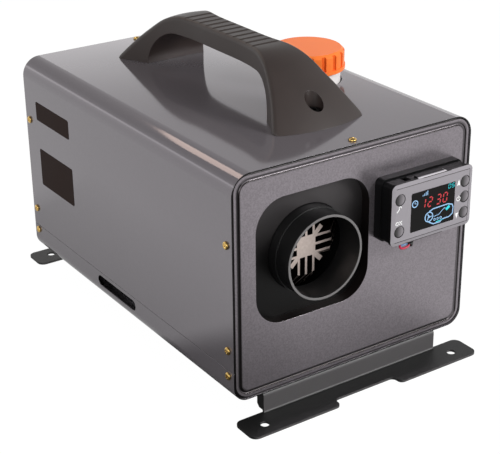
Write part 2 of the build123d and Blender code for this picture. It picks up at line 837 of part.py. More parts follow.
def flank_fins():
    """Front view of the shorter fins on the flanks, behind the star."""
    sketch = fin_rows(fin_reach, core_radius)
    for angle in (0, 90):
        for step in (-3, -2, 2, 3):
            sketch += Rot(0, 0, angle) * Pos(0, step * fin_spacing) * Rectangle(2 * fin_reach, fin_thickness)
    return sketch & Circle(fin_reach)


def heat_exchanger():
    """Cast exchanger: star of fins at the front, finned body, chamber, flange and pedestal."""
    centre = Pos(outlet_x, outlet_z)
    slope = fin_reach - star_radius
    front = along_y(centre * fin_rows(fin_reach, hub_plate / 2), star_y, star_y + slope)
    envelope = turned([(0, star_y), (star_radius, star_y), (fin_reach, star_y + slope),
                       (0, star_y + slope)], outlet_x, outlet_z)
    body = front & envelope
    body += along_y(centre * Rectangle(hub_plate, hub_plate), star_y, star_y + 6)
    dome = star_y + core_front_gap
    body += turned([(0, dome), (core_radius * 0.6, dome), (core_radius, dome + 10),
                    (core_radius, exchanger_back), (0, exchanger_back)], outlet_x, outlet_z)
    body += along_y(centre * flank_fins(), star_y + slope, fin_back)
    body += bar(outlet_x, outlet_z, flange_radius, exchanger_back - 4, exchanger_back)
    saddle = outlet_z - core_radius / 2
    body += along_z(Pos(outlet_x, pedestal_middle) * pedestal_outline(), pedestal_bottom, saddle)
    body -= bar(outlet_x, outlet_z, core_radius - core_wall, dome + core_wall + 6, exchanger_back + 1)
    plug_seat = outlet_z + core_radius - 2
    body -= post(outlet_x, glow_y, glow_radius + 3, plug_seat, plug_seat + fin_reach)
    body -= post(outlet_x, glow_y, glow_radius + thread_gap, outlet_z, plug_seat + 1)
    for x, y in pipe_places():
        body -= post(x, y, pipe_radius + thread_gap, pedestal_bottom - 1, pedestal_bottom + pipe_socket)
    x, y = pipe_places()[0]
    body -= post(x, y, pipe_radius - pipe_wall, pedestal_bottom, outlet_z - core_radius / 2)
    for x, y in stand_bolt_places():
        body -= post(x, y, bolt_radius + thread_gap, pedestal_bottom - 1, pedestal_bottom + bolt_depth + 0.5)
    port = pedestal_bottom + hose_socket
    return body - post(pump_x, fuel_port_y, hose_radius + thread_gap, pedestal_bottom - 1, port)


def burner_tube():
    """Perforated flame tube inside the exchanger, with its seat flange."""
    tube_back = exchanger_back
    burner = tube(outlet_x, outlet_z, burner_radius, burner_radius - burner_wall, burner_front, tube_back)
    flange = tube(outlet_x, outlet_z, core_radius - core_wall - 0.1, burner_radius - burner_wall,
                  tube_back - 3, tube_back)
    burner += flange
    for row in range(3):
        y = burner_front + 25 + row * 20
        for step in range(4):
            turn = Pos(outlet_x, y, outlet_z) * Rot(0, step * 45 + row * 22.5, 0)
            burner -= turn * Cylinder(2.5, 3 * burner_radius)
    return burner - post(outlet_x, glow_y, glow_radius + 0.5, outlet_z, outlet_z + 2 * burner_radius)


def glow_plug():
    """Glow plug screwed into the exchanger from above."""
    seat = outlet_z + core_radius - 2
    plug = post(outlet_x, glow_y, glow_radius, outlet_z + burner_radius - 9, seat)
    plug += Pos(outlet_x, glow_y, seat) * extrude(RegularPolygon(glow_radius + 2, 6), 5)
    return plug + post(outlet_x, glow_y, 2.0, seat, seat + 14)


def overheat_sensor():
    """Thermostat on the tips of the top fins."""
    z = outlet_z + fin_reach
    sensor = block(outlet_x - 9, outlet_x + 9, sensor_y - 5, sensor_y + 5, z, z + 2)
    return sensor + post(outlet_x, sensor_y, 4, z, z + 5)


def combustion_housing():
    """Cup behind the exchanger in which the combustion-air wheel turns."""
    back = exchanger_back + blower_length
    housing = bar(outlet_x, outlet_z, blower_radius, exchanger_back, back)
    housing = fillet(housing.edges().filter_by(GeomType.CIRCLE).group_by(Axis.Y)[-1], 4)
    cavity = blower_radius - blower_wall
    housing -= bar(outlet_x, outlet_z, cavity, exchanger_back - 1, back - blower_wall)
    return housing - bar(outlet_x, outlet_z, shaft_radius + 1, exchanger_back, back + 1)


def combustion_impeller():
    """Small wheel that feeds the burner: disc with straight vanes."""
    front = exchanger_back + blower_length / 2 - air_pump_width / 2
    back = front + air_pump_width
    wheel = bar(outlet_x, outlet_z, air_pump_radius, back - 1.6, back)
    wheel += bar(outlet_x, outlet_z, 7, front, back)
    for step in range(air_pump_blades):
        vane = Pos(outlet_x, (front + back) / 2, outlet_z) * Rot(0, step * 360 / air_pump_blades, 0)
        reach = air_pump_radius - 14
        wheel += vane * Pos(14 + reach / 2 - 0.2, 0, 0) * Box(reach, air_pump_width, 1.2)
    return wheel - bar(outlet_x, outlet_z, shaft_radius, front - 1, back + 1)


def fan_motor():
    """Motor that drives both wheels."""
    front = exchanger_back + blower_length
    back = front + motor_length
    motor = bar(outlet_x, outlet_z, motor_radius, front, back)
    motor = chamfer(motor.edges().filter_by(GeomType.CIRCLE).group_by(Axis.Y)[-1], 2)
    return motor - bar(outlet_x, outlet_z, shaft_radius + shaft_gap, front - 1, back + 1)


def motor_shaft():
    front = exchanger_back + blower_length / 2 - air_pump_width / 2
    return bar(outlet_x, outlet_z, shaft_radius, front, wheel_front + wheel_width)


def hot_air_impeller():
    """Axial wheel: hub and twisted blades."""
    back = wheel_front + wheel_width
    hub = bar(outlet_x, outlet_z, wheel_hub_radius, wheel_front, back)
    hub = fillet(hub.edges().filter_by(GeomType.CIRCLE).group_by(Axis.Y)[-1], 4)
    root = wheel_hub_radius - 1.5
    sections = []
    for radius, pitch in ((root, blade_root_pitch), (wheel_radius, blade_tip_pitch)):
        chord = (wheel_width - 3) / cos(radians(pitch))
        plane = Plane(origin=(outlet_x + radius, (wheel_front + back) / 2, outlet_z),
                      x_dir=(0, cos(radians(pitch)), sin(radians(pitch))), z_dir=(1, 0, 0))
        sections.append(plane * Rectangle(min(chord, 2 * pi * radius / blade_count), blade_thickness))
    blade = loft(sections)
    axis = Axis((outlet_x, 0, outlet_z), (0, 1, 0))
    for step in range(blade_count):
        hub += blade.rotate(axis, step * 360 / blade_count)
    return hub - bar(outlet_x, outlet_z, shaft_radius, wheel_front - 1, back + 1)


def inlet_hood():
    """Ring round the hot-air wheel with a guard of rings and spokes at the back."""
    outer = duct_radius + shell_wall
    front = shell_back + nest_gap
    hood = tube(outlet_x, outlet_z, outer, duct_radius, front, unit_back)
    hood += tube(outlet_x, outlet_z, duct_radius - nest_gap, duct_radius - 2, front - 8, front + 4)
    hood += tube(outlet_x, outlet_z, duct_radius + 0.5, duct_radius - 2.5, front, front + 4)
    for radius in (20, 32, 44):
        hood += tube(outlet_x, outlet_z, radius + 0.9, radius - 0.9, unit_back - 3, unit_back)
    for step in range(4):
        spoke = Pos(outlet_x, unit_back - 1.5, outlet_z) * Rot(0, step * 45, 0)
        hood += spoke * (Box(2 * duct_radius + 1, 3, 2) - Box(2 * 20, 4, 3))
    return hood


def control_board():
    """Sealed control unit on a saddle over the motor."""
    motor_top = outlet_z + motor_radius
    box = block(outlet_x - 26, outlet_x + 26, ecu_y - ecu_length / 2, ecu_y + ecu_length / 2,
                motor_top - 8, motor_top + 20)
    box = fillet(box.edges().filter_by(Axis.Y), 3)
    box -= bar(outlet_x, outlet_z, motor_radius + 0.2, ecu_y - ecu_length, ecu_y + ecu_length)
    return box


# ------------------------------------------------------------------ fuel pump and lines
def fuel_pump():
    """Dosing pump: coil barrel between two hose ends, bored for its plunger."""
    z = inner_floor + pump_height
    back = pump_front + pump_length
    middle = (pump_front + back) / 2
    pump = bar(pump_x, z, pump_radius, middle - pump_barrel / 2, middle + pump_barrel / 2)
    pump = fillet(pump.edges().filter_by(GeomType.CIRCLE), 1.5)
    pump += bar(pump_x, z, 8, pump_front + 6, back - 6)
    pump += bar(pump_x, z, 3.5, pump_front, back)
    travel = piston_length + piston_stroke + 2 * piston_gap
    pump -= bar(pump_x, z, pump_bore, middle - travel / 2, middle + travel / 2)
    return pump - bar(pump_x, z, hose_bore, pump_front - 1, back + 1)


def pump_piston():
    z = inner_floor + pump_height
    middle = pump_front + pump_length / 2
    front = middle - (piston_length + piston_stroke) / 2 + piston_stroke
    piston = bar(pump_x, z, pump_bore - piston_gap, front, front + piston_length)
    return piston - bar(pump_x, z, hose_bore, front - 1, front + piston_length + 1)


def pump_clamp():
    """Rubber-lined clamp that hangs the pump over the tray."""
    z = inner_floor + pump_height
    middle = pump_front + pump_length / 2
    outer = pump_radius + 3
    clamp = bar(pump_x, z, outer, middle - 9, middle + 9)
    clamp += block(pump_x - 6, pump_x + 6, middle - 9, middle + 9, inner_floor, z)
    clamp += block(pump_x - 18, pump_x + 18, middle - 9, middle + 9, inner_floor, inner_floor + 3)
    return clamp - bar(pump_x, z, pump_radius + nest_gap, middle - 10, middle + 10)


def hose(points, bend):
    """Fuel hose along straight runs joined by arcs."""
    path = FilletPolyline(*points, radius=bend)
    return sweep(Plane(origin=path @ 0, z_dir=path % 0) * (Circle(hose_radius) - Circle(hose_bore)), path=path)


def filter_ends():
    """Front and back of the fuel filter, on the run behind the tank's outlet."""
    middle = (tank_port_y + hose_turn_y) / 2
    return middle - filter_length / 2, middle + filter_length / 2


def fuel_hose_suction():
    """Two lengths of hose: tank to filter, and filter to pump."""
    x = filter_x
    z = inner_floor + pump_height
    front, back = filter_ends()
    first = hose([(tank_left - 17, tank_port_y, tank_port_z), (x, tank_port_y, tank_port_z),
                  (x, front, tank_port_z)], 11)
    second = hose([(x, back, tank_port_z), (x, hose_turn_y, tank_port_z), (pump_x, hose_turn_y, z),
                   (pump_x, pump_front + pump_length, z)], 12)
    return [first, second]


def fuel_filter():
    front, back = filter_ends()
    body = bar(filter_x, tank_port_z, filter_radius, front + 4, back - 4)
    body = fillet(body.edges().filter_by(GeomType.CIRCLE), 2)
    body += bar(filter_x, tank_port_z, 3.2, front, back)
    return body - bar(filter_x, tank_port_z, hose_bore, front - 1, back + 1)


def fuel_hose_pressure():
    z = inner_floor + pump_height
    top = pedestal_bottom + hose_socket - 0.5
    return hose([(pump_x, pump_front, z), (pump_x, fuel_port_y, z), (pump_x, fuel_port_y, top)], 16)


# ------------------------------------------------------------------ cables inside
def power_gland():
    """Cable gland in the rear panel, without its cord."""
    face = mouth_back - panel_set_back
    z = case_clearance + gland_above_tray
    points = [(3.0, face - 9), (gland_radius, face - 9), (gland_radius, face), (11, face), (11, face + 4),
              (9, face + 4), (7.5, face + 12), (3.0, face + 12)]
    gland = turned(points, gland_x, z)
    nut = Plane(origin=(gland_x, face - panel_sheet, z), x_dir=(1, 0, 0), z_dir=(0, -1, 0))
    gland += extrude(nut * RegularPolygon(11, 6), 4) - bar(gland_x, z, 3.0, face - 20, face + 20)
    return gland


def control_cable():
    """Cable from the controller's hole in the front panel to the control unit."""
    x = (outlet_x + duct_radius + shell_wall + tank_left) / 2
    lane = tank_front - 7
    high = outlet_z + duct_radius + shell_wall + 8
    points = [(wire_hole_x, panel_face + panel_sheet + 2, wire_hole_z), (wire_hole_x, lane, wire_hole_z),
              (x, lane, (wire_hole_z + high) / 2), (x, lane + 30, high), (x, cable_entry_y, high),
              (outlet_x, cable_entry_y, high), (outlet_x, cable_entry_y, outlet_z + motor_radius + 20)]
    path = FilletPolyline(*points, radius=[6, 14, 14, 14, 5])
    return sweep(Plane(origin=path @ 0, z_dir=path % 0) * Circle(cable_radius), path=path)


# ------------------------------------------------------------------ controller
def control_outline(grow=0.0):
    return RectangleRounded(control_width + 2 * grow, control_height + 2 * grow, control_radius + grow)


def control_slab(sketch, y0, y1):
    """Sketch about the middle of the controller, made solid between two depths from its front."""
    return along_y(Pos(control_x, control_z) * sketch, control_face + y0, control_face + y1)


def button_places():
    """Name and place of each button, from the middle of the controller."""
    high, middle, low = button_rows
    return {"button_set": (-button_x, high), "button_ok": (-button_x, low), "button_up": (button_x, high),
            "button_power": (button_x, middle), "button_down": (button_x, low)}


def controller_bezel():
    """Front frame: bevelled face, window, and a stepped well for each button."""
    face = Plane(origin=(control_x, control_face, control_z), x_dir=(1, 0, 0), z_dir=(0, -1, 0))
    low = Plane(origin=(control_x, control_face + bezel_bevel_drop, control_z), x_dir=(1, 0, 0),
                z_dir=(0, -1, 0))
    bezel = loft([face * control_outline(-bezel_bevel), low * control_outline()])
    bezel += control_slab(control_outline(), bezel_bevel_drop, bezel_thickness)
    bezel -= control_slab(Pos(0, screen_z) * RectangleRounded(screen_width, screen_height, 1.5), -1, 9)
    for x, z in button_places().values():
        bezel -= control_slab(Pos(x, z) * Circle(button_radius + button_gap), -1, 9)
        bezel -= control_slab(Pos(x, z) * Circle(button_flange + button_gap),
                              bezel_thickness - well_depth, 9)
    top = control_height / 2
    for x0, x1, side in ((-16, 14, 1), (-28, 13, -1)):
        z0, z1 = sorted((side * (top - 3), side * (top + clip_rise)))
        bezel += block(control_x + x0, control_x + x1, control_face + 2.5, control_face + clip_depth,
                       control_z + z0, control_z + z1)
    inner = control_slab(control_outline(-body_inset - body_wall - 0.2), bezel_thickness, clip_depth + 1)
    return bezel - inner


def controller_housing():
    """Rear shell of the controller, open at the front."""
    back = control_depth - cradle_back - screw_head_space
    housing = control_slab(control_outline(-body_inset), bezel_thickness, back)
    housing -= control_slab(control_outline(-body_inset - body_wall), bezel_thickness - 1, back - body_wall)
    top = control_z + control_height / 2
    for x0, x1, side in ((-16, 14, 1), (-28, 13, -1)):
        z = control_z + side * control_height / 2
        housing -= block(control_x + x0 - 0.1, control_x + x1 + 0.1, control_face, control_face + clip_depth + 0.1,
                         z - 3.2, z + 3.2)
    notch = Pos(control_x - 23.5, control_face + 9, top) * Rot(90, 0, 0)
    housing -= notch * Cylinder(3.5, 8)
    return housing


def controller_cradle():
    """Cup on the front panel that holds the controller."""
    front = control_depth - cradle_depth
    cradle = control_slab(control_outline(cradle_grow), front, control_depth)
    cradle -= control_slab(control_outline(cradle_grow - cradle_wall), front - 1, control_depth - cradle_back)
    for side in (-1, 1):
        cradle -= bar(control_x + side * cradle_screw_x, control_z, cradle_screw_radius + bolt_gap,
                      panel_face - 10, panel_face + 1)
    return cradle


def cradle_screws():
    """Screws through the cradle into the front panel."""
    screws = []
    seat = panel_face - cradle_back
    for side in (-1, 1):
        x = control_x + side * cradle_screw_x
        screw = bar(x, control_z, 3.2, seat - 1.5, seat)
        screws.append(screw + bar(x, control_z, cradle_screw_radius, seat - 1, panel_face + 6))
    return screws


def controller_screen():
    glass = RectangleRounded(screen_width - 0.2, screen_height - 0.2, 1.4)
    return control_slab(Pos(0, screen_z) * glass, screen_recess, bezel_thickness)


def controller_board():
    board = control_outline(-body_inset - body_wall - 0.4)
    return control_slab(board, bezel_thickness, bezel_thickness + board_thickness)


def control_button(x, z):
    """Push button: dished cap with a flange that keeps it in its well."""
    back = bezel_thickness - button_travel - 0.1
    cap = control_slab(Pos(x, z) * Circle(button_radius), 0, back)
    cap = fillet(cap.edges().group_by(Axis.Y)[0], 0.5)
    cap += control_slab(Pos(x, z) * Circle(button_flange), bezel_thickness - well_depth + 0.1, back)
    sagitta = button_dish - sqrt(button_dish ** 2 - (button_radius - 0.7) ** 2)
    place = Pos(control_x + x, control_face - button_dish + sagitta, control_z + z)
    return cap - place * Sphere(button_dish)


def controller_wires():
    """Two wires that loop from the controller's underside into a sleeve, and that sleeve."""
    sleeve_front = panel_face - 7.5
    start = control_z - control_height / 2 + body_inset
    wires = []
    for side, drop in ((1, 12.5), (-1, 10.0)):
        y = panel_face - 11.2 - side * 1.3
        end = wire_hole_x + side * 1.2
        points = [(wire_hole_x - 17, y, start), (wire_hole_x - 17, y, start - drop),
                  (wire_hole_x - 6, y, start - drop - 1), (end, y, wire_hole_z), (end, sleeve_front, wire_hole_z)]
        path = FilletPolyline(*points, radius=[4, 4, 1.6])
        wires.append(sweep(Plane(origin=path @ 0, z_dir=path % 0) * Circle(wire_radius), path=path))
    return wires + [bar(wire_hole_x, wire_hole_z, sleeve_radius, sleeve_front, panel_face + panel_sheet + 2)]


# ------------------------------------------------------------------ build
def pipe_places():
    return [(outlet_x + exhaust_offset[0], exhaust_offset[1]),
            (outlet_x + intake_offset[0], intake_offset[1])]


pieces = {
    "cover_shell": cover_shell,
    "base_tray": base_tray,
    "front_panel": front_panel,
    "rear_panel": rear_panel,
    "bulkhead": bulkhead,
    "front_foot": front_foot,
    "rear_foot": lambda: half_turn(front_foot()),
    "foot_bolts": foot_bolts,
    "foot_nuts": foot_nuts,
    "case_screws": case_screws,
    "carry_handle": carry_handle,
    "handle_screws": handle_screws,
    "fuel_tank": fuel_tank,
    "tank_pads": tank_pads,
    "tank_outlet": tank_outlet,
    "filler_cap": filler_cap,
    "cap_seal": cap_seal,
    "heater_stand": heater_stand,
    "stand_rivets": stand_rivets,
    "mount_gasket": mount_gasket,
    "heater_bolts": heater_bolts,
    "exhaust_pipe": lambda: pipe(*pipe_places()[0]),
    "intake_pipe": lambda: pipe(*pipe_places()[1]),
    "heater_upper_shell": lambda: heater_shell(True),
    "heater_lower_shell": lambda: heater_shell(False),
    "outlet_collar": outlet_collar,
    "heat_exchanger": heat_exchanger,
    "burner_tube": burner_tube,
    "glow_plug": glow_plug,
    "overheat_sensor": overheat_sensor,
    "combustion_housing": combustion_housing,
    "combustion_impeller": combustion_impeller,
    "fan_motor": fan_motor,
    "motor_shaft": motor_shaft,
    "hot_air_impeller": hot_air_impeller,
    "inlet_hood": inlet_hood,
    "control_board": control_board,
    "fuel_pump": fuel_pump,
    "pump_piston": pump_piston,
    "pump_clamp": pump_clamp,
    "fuel_hose_suction": fuel_hose_suction,
    "fuel_filter": fuel_filter,
    "fuel_hose_pressure": fuel_hose_pressure,
    "power_gland": power_gland,
    "control_cable": control_cable,
    "controller_bezel": controller_bezel,
    "controller_housing": controller_housing,
    "controller_cradle": controller_cradle,
    "cradle_screws": cradle_screws,
    "controller_screen": controller_screen,
    "controller_board": controller_board,
    "controller_wires": controller_wires,
}
for button, place in button_places().items():
    pieces[button] = lambda place=place: control_button(*place)

if __name__ == "__main__":
    for name, make in pieces.items():
        made = make()
        shape = Compound(children=[one_solid(p) for p in made]) if isinstance(made, list) else one_solid(made)
        export_step(shape, f"parts/{name}.step")
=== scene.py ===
"""Looks of a portable diesel air heater: enamelled case, moulded handle, cap, collar and controller.

Everything is in metres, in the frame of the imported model: +Z up, the warm-air outlet faces -Y, and the
origin is on the floor in the middle of the footprint.
"""
import json
import math

import bpy
import numpy as np
from mathutils import Matrix, Vector


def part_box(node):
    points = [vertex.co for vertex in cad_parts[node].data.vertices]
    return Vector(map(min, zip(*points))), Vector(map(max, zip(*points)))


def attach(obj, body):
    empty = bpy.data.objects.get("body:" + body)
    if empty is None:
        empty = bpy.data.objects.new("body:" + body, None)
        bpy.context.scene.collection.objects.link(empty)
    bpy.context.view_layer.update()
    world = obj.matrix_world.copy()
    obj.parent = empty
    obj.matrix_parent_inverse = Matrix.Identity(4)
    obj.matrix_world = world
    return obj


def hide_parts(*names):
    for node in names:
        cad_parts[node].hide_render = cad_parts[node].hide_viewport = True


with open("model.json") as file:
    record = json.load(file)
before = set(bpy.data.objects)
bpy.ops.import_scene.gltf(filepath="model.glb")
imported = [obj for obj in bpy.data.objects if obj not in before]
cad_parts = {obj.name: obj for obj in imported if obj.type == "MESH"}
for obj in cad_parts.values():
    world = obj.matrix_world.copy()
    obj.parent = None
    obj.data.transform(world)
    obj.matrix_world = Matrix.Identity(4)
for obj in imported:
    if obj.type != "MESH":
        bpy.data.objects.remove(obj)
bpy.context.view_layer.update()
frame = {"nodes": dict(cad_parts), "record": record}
nodes = frame["nodes"]

MM = 0.001


# ------------------------------------------------------------------ meshes
askew = (0.3, 0.5, 0.8)       # a direction that no route starts along


def mesh_piece(name, points, faces, material, smooth=True):
    """Object from arrays of points and faces, in place, that rides on the root body."""
    mesh = bpy.data.meshes.new(name)
    mesh.from_pydata(np.asarray(points, float).reshape(-1, 3).tolist(), [], [list(f) for f in faces])
    mesh.validate()
    mesh.polygons.foreach_set("use_smooth", [smooth] * len(mesh.polygons))
    mesh.update()
    piece = bpy.data.objects.new(name, mesh)
    bpy.context.scene.collection.objects.link(piece)
    mesh.materials.append(material)
    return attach(piece, "root")


def grid_faces(rows, columns):
    """Quads of a grid of rows by columns, whose columns close into a ring."""
    row, column = np.meshgrid(np.arange(rows - 1), np.arange(columns), indexing="ij")
    after = (column + 1) % columns
    quads = np.stack([row * columns + column, row * columns + after,
                      (row + 1) * columns + after, (row + 1) * columns + column], axis=-1)
    return quads.reshape(-1, 4).tolist()


def join(parts):
    """One list of points and one of faces from several (points, faces)."""
    points, faces, start = [], [], 0
    for some, quads in parts:
        some = np.asarray(some, float).reshape(-1, 3)
        points.append(some)
        faces += [[corner + start for corner in face] for face in quads]
        start += len(some)
    return np.vstack(points), faces


def rounded_outline(width, height, radius, steps=8):
    """Points round a rectangle with quarter-circle corners, anticlockwise."""
    angle = np.linspace(0, math.pi / 2, steps)
    corners = []
    for turn, (x, y) in enumerate(((1, 1), (-1, 1), (-1, -1), (1, -1))):
        centre = np.array([x * (width / 2 - radius), y * (height / 2 - radius)])
        theta = angle + turn * math.pi / 2
        corners.append(centre + radius * np.stack([np.cos(theta), np.sin(theta)], axis=-1))
    return np.vstack(corners)


def plate(outline, place, across, up, thickness, edge=0.0):
    """Flat plate with a back, whose outline is drawn in by edge at the face.

    A point (u, v) of the outline lies at place + u across + v up, and the face looks along across x up.
    """
    across, up = np.array(across, float), np.array(up, float)
    out = np.cross(across, up)
    outline = np.asarray(outline, float)
    centre = outline.mean(axis=0)
    reach = np.abs(outline - centre).max(axis=0)
    rings = []
    for inset, height in ((0, 0), (0, thickness - edge), (edge, thickness)):
        drawn = centre + (outline - centre) * (1 - inset / reach)
        rings.append(place + drawn[:, :1] * across + drawn[:, 1:] * up + height * out)
    count = len(outline)
    back = list(range(count))[::-1]
    face = [2 * count + i for i in range(count)]
    return np.vstack(rings), grid_faces(len(rings), count) + [back, face]


def tube_along(route, radius, sides=12):
    """Closed tube whose rings stand square to a route.

    A ring's side is the last ring's, less what it has along the route: s - (s . t) t, made one long. So the
    tube doesn't twist.
    """
    route = np.asarray(route, float)
    along = np.gradient(route, axis=0)
    along /= np.linalg.norm(along, axis=1, keepdims=True)
    angle = np.linspace(0, 2 * math.pi, sides, endpoint=False)
    side = np.cross(along[0], askew)
    rings = []
    for point, direction in zip(route, along):
        side = side - np.dot(side, direction) * direction
        side /= np.linalg.norm(side)
        other = np.cross(direction, side)
        rings.append(point + radius * (np.cos(angle)[:, None] * side + np.sin(angle)[:, None] * other))
    start = list(range(sides))[::-1]
    end = [(len(route) - 1) * sides + i for i in range(sides)]
    return np.vstack(rings), grid_faces(len(route), sides) + [start, end]


# ------------------------------------------------------------------ materials
# Scales of the patterns, in cells a metre. The grains are drawn coarser than the real ones, which are finer
# than the picture can show.
sheet_drift = 9.0             # cells of 110 mm: how the shade of a painted sheet drifts
hand_drift = 28.0             # 36 mm, about a thumb: how a moulding is worn by hands
peel_coarse = 420.0           # 2.4 mm: orange peel on the case
peel_fine = 800.0             # 1.25 mm: orange peel on the panels
powder_grain = 900.0          # 1.1 mm: powder coat
drawing_marks = 300.0         # 3.3 mm
casting_grain = 500.0         # 2 mm
bump_height = 0.1 * MM        # how deep a bump of full strength is
edge_radius = 0.5 * MM        # how far paint rounds a sheet's edges


def linear(code):
    """Linear colour of an sRGB hex value."""
    levels = [int(code[i:i + 2], 16) / 255 for i in (1, 3, 5)]
    return tuple(v / 12.92 if v <= 0.04045 else ((v + 0.055) / 1.055) ** 2.4 for v in levels) + (1.0,)


def add(tree, kind, sockets=None, **settings):
    """Adds a shader node: settings are its properties, and sockets gives inputs a value or an output."""
    made = tree.nodes.new("ShaderNode" + kind)
    for name, value in settings.items():
        setattr(made, name, value)
    for name, value in (sockets or {}).items():
        if isinstance(value, bpy.types.NodeSocket):
            tree.links.new(value, made.inputs[name])
        else:
            made.inputs[name].default_value = value
    return made


def new_material(name):
    """Empty node material and its Principled shader, linked to the output."""
    material = bpy.data.materials.new(name)
    material.use_nodes = True
    tree = material.node_tree
    return material, tree, tree.nodes["Principled BSDF"]


def enamel(name, colour, roughness, peel, grain, flake):
    """Stoved enamel on sheet steel, with an orange peel, whose shade drifts by 3 % over the sheet.

    peel is how deep the peel and its specks are, grain how many cells a metre it has, and flake how much
    metal powder the paint holds, which makes it mirror the room in its own grey.
    """
    material, tree, shader = new_material(name)
    place = add(tree, "TexCoord").outputs["Object"]
    cloud = add(tree, "TexNoise", {"Vector": place, "Scale": sheet_drift, "Detail": 2.0})
    shade = add(tree, "MapRange", {"Value": cloud.outputs["Fac"], "To Min": 0.97, "To Max": 1.03})
    tint = add(tree, "MixRGB", {"Fac": 1.0, "Color1": linear(colour), "Color2": shade.outputs["Result"]},
               blend_type="MULTIPLY")
    waves = add(tree, "TexNoise", {"Vector": place, "Scale": grain, "Detail": 1.0})
    speckle = add(tree, "MapRange", {"Value": waves.outputs["Fac"], "From Min": 0.3, "From Max": 0.7,
                                     "To Min": 1 - 0.3 * peel, "To Max": 1 + 0.3 * peel})
    tint = add(tree, "MixRGB", {"Fac": 1.0, "Color1": tint.outputs["Color"],
                                "Color2": speckle.outputs["Result"]}, blend_type="MULTIPLY")
    tree.links.new(tint.outputs["Color"], shader.inputs["Base Color"])
    rounded = add(tree, "Bevel", {"Radius": edge_radius}, samples=4)
    bump = add(tree, "Bump", {"Height": waves.outputs["Fac"], "Strength": peel, "Distance": bump_height,
                              "Normal": rounded.outputs["Normal"]})
    tree.links.new(bump.outputs["Normal"], shader.inputs["Normal"])
    shader.inputs["Roughness"].default_value = roughness
    shader.inputs["Metallic"].default_value = flake
    shader.inputs["IOR"].default_value = 1.5
    return material


def powder_coat(name, colour):
    """Satin black powder coat: an even, leather-like grain that softens every highlight."""
    material, tree, shader = new_material(name)
    place = add(tree, "TexCoord").outputs["Object"]
    grain = add(tree, "TexNoise", {"Vector": place, "Scale": powder_grain, "Detail": 3.0})
    rounded = add(tree, "Bevel", {"Radius": edge_radius}, samples=4)
    bump = add(tree, "Bump", {"Height": grain.outputs["Fac"], "Strength": 0.35, "Distance": bump_height,
                              "Normal": rounded.outputs["Normal"]})
    tree.links.new(bump.outputs["Normal"], shader.inputs["Normal"])
    shine = add(tree, "MapRange", {"Value": grain.outputs["Fac"], "To Min": 0.38, "To Max": 0.52})
    tree.links.new(shine.outputs["Result"], shader.inputs["Roughness"])
    base = add(tree, "RGB")
    base.outputs[0].default_value = linear(colour)
    tree.links.new(base.outputs[0], shader.inputs["Base Color"])
    return material


def moulded(name, colour, worn, roughness, grain, depth, radius=0.4, gloss=0.5):
    """Moulded plastic: spark-eroded grain, with slow swings of shade and sheen from handling.

    grain and radius, which is how round its edges are, are in millimetres. depth is the bump's strength.
    """
    material, tree, shader = new_material(name)
    place = add(tree, "TexCoord").outputs["Object"]
    cloud = add(tree, "TexNoise", {"Vector": place, "Scale": hand_drift, "Detail": 3.0})
    tint = add(tree, "MixRGB", {"Fac": cloud.outputs["Fac"], "Color1": linear(colour), "Color2": linear(worn)})
    tree.links.new(tint.outputs["Color"], shader.inputs["Base Color"])
    shine = add(tree, "MapRange", {"Value": cloud.outputs["Fac"], "To Min": roughness - 0.05,
                                   "To Max": roughness + 0.05})
    tree.links.new(shine.outputs["Result"], shader.inputs["Roughness"])
    pits = add(tree, "TexNoise", {"Vector": place, "Scale": 1.0 / (grain * MM), "Detail": 2.0})
    rounded = add(tree, "Bevel", {"Radius": radius * MM}, samples=4)
    bump = add(tree, "Bump", {"Height": pits.outputs["Fac"], "Strength": depth, "Distance": bump_height,
                              "Normal": rounded.outputs["Normal"]})
    tree.links.new(bump.outputs["Normal"], shader.inputs["Normal"])
    shader.inputs["IOR"].default_value = 1.49
    shader.inputs["Specular IOR Level"].default_value = gloss
    return material


def metal(name, colour, dull, roughness, scale=drawing_marks, streak=(1.0, 1.0, 1.0)):
    """Bare or plated metal: two tones of the plate and a roughness that follows its drawing marks."""
    material, tree, shader = new_material(name)
    place = add(tree, "TexCoord").outputs["Object"]
    drawn = add(tree, "Mapping", {"Vector": place, "Scale": streak})
    marks = add(tree, "TexNoise", {"Vector": drawn.outputs["Vector"], "Scale": scale, "Detail": 3.0})
    tint = add(tree, "MixRGB", {"Fac": marks.outputs["Fac"], "Color1": linear(colour), "Color2": linear(dull)})
    tree.links.new(tint.outputs["Color"], shader.inputs["Base Color"])
    shine = add(tree, "MapRange", {"Value": marks.outputs["Fac"], "To Min": roughness - 0.06,
                                   "To Max": roughness + 0.08})
    tree.links.new(shine.outputs["Result"], shader.inputs["Roughness"])
    shader.inputs["Metallic"].default_value = 1.0
    return material


def glowing(name, colour, strength):
    """Lit display segment: an even glow that needs no light from outside."""
    material, tree, shader = new_material(name)
    shader.inputs["Base Color"].default_value = linear(colour)
    shader.inputs["Emission Color"].default_value = linear(colour)
    shader.inputs["Emission Strength"].default_value = strength
    shader.inputs["Roughness"].default_value = 0.4
    return material


# ------------------------------------------------------------------ shading over a material
def over(material, colour, share):
    """Lays a colour over what a material has, as much as share says at each point."""
    tree = material.node_tree
    shader = tree.nodes["Principled BSDF"]
    base = shader.inputs["Base Color"].links[0].from_socket
    tint = add(tree, "MixRGB", {"Fac": share, "Color1": base, "Color2": linear(colour)})
    tree.links.new(tint.outputs["Color"], shader.inputs["Base Color"])
    return material


def rimmed(material, rim, y):
    """Makes a moulding pale in front of y, in a ring round its rim."""
    tree = material.node_tree
    depth = add(tree, "SeparateXYZ", {"Vector": add(tree, "TexCoord").outputs["Object"]}).outputs["Y"]
    front = add(tree, "MapRange", {"Value": depth, "From Min": y, "From Max": y + 0.4 * MM, "To Min": 1.0,
                                   "To Max": 0.0})
    return over(material, rim, front.outputs["Result"])


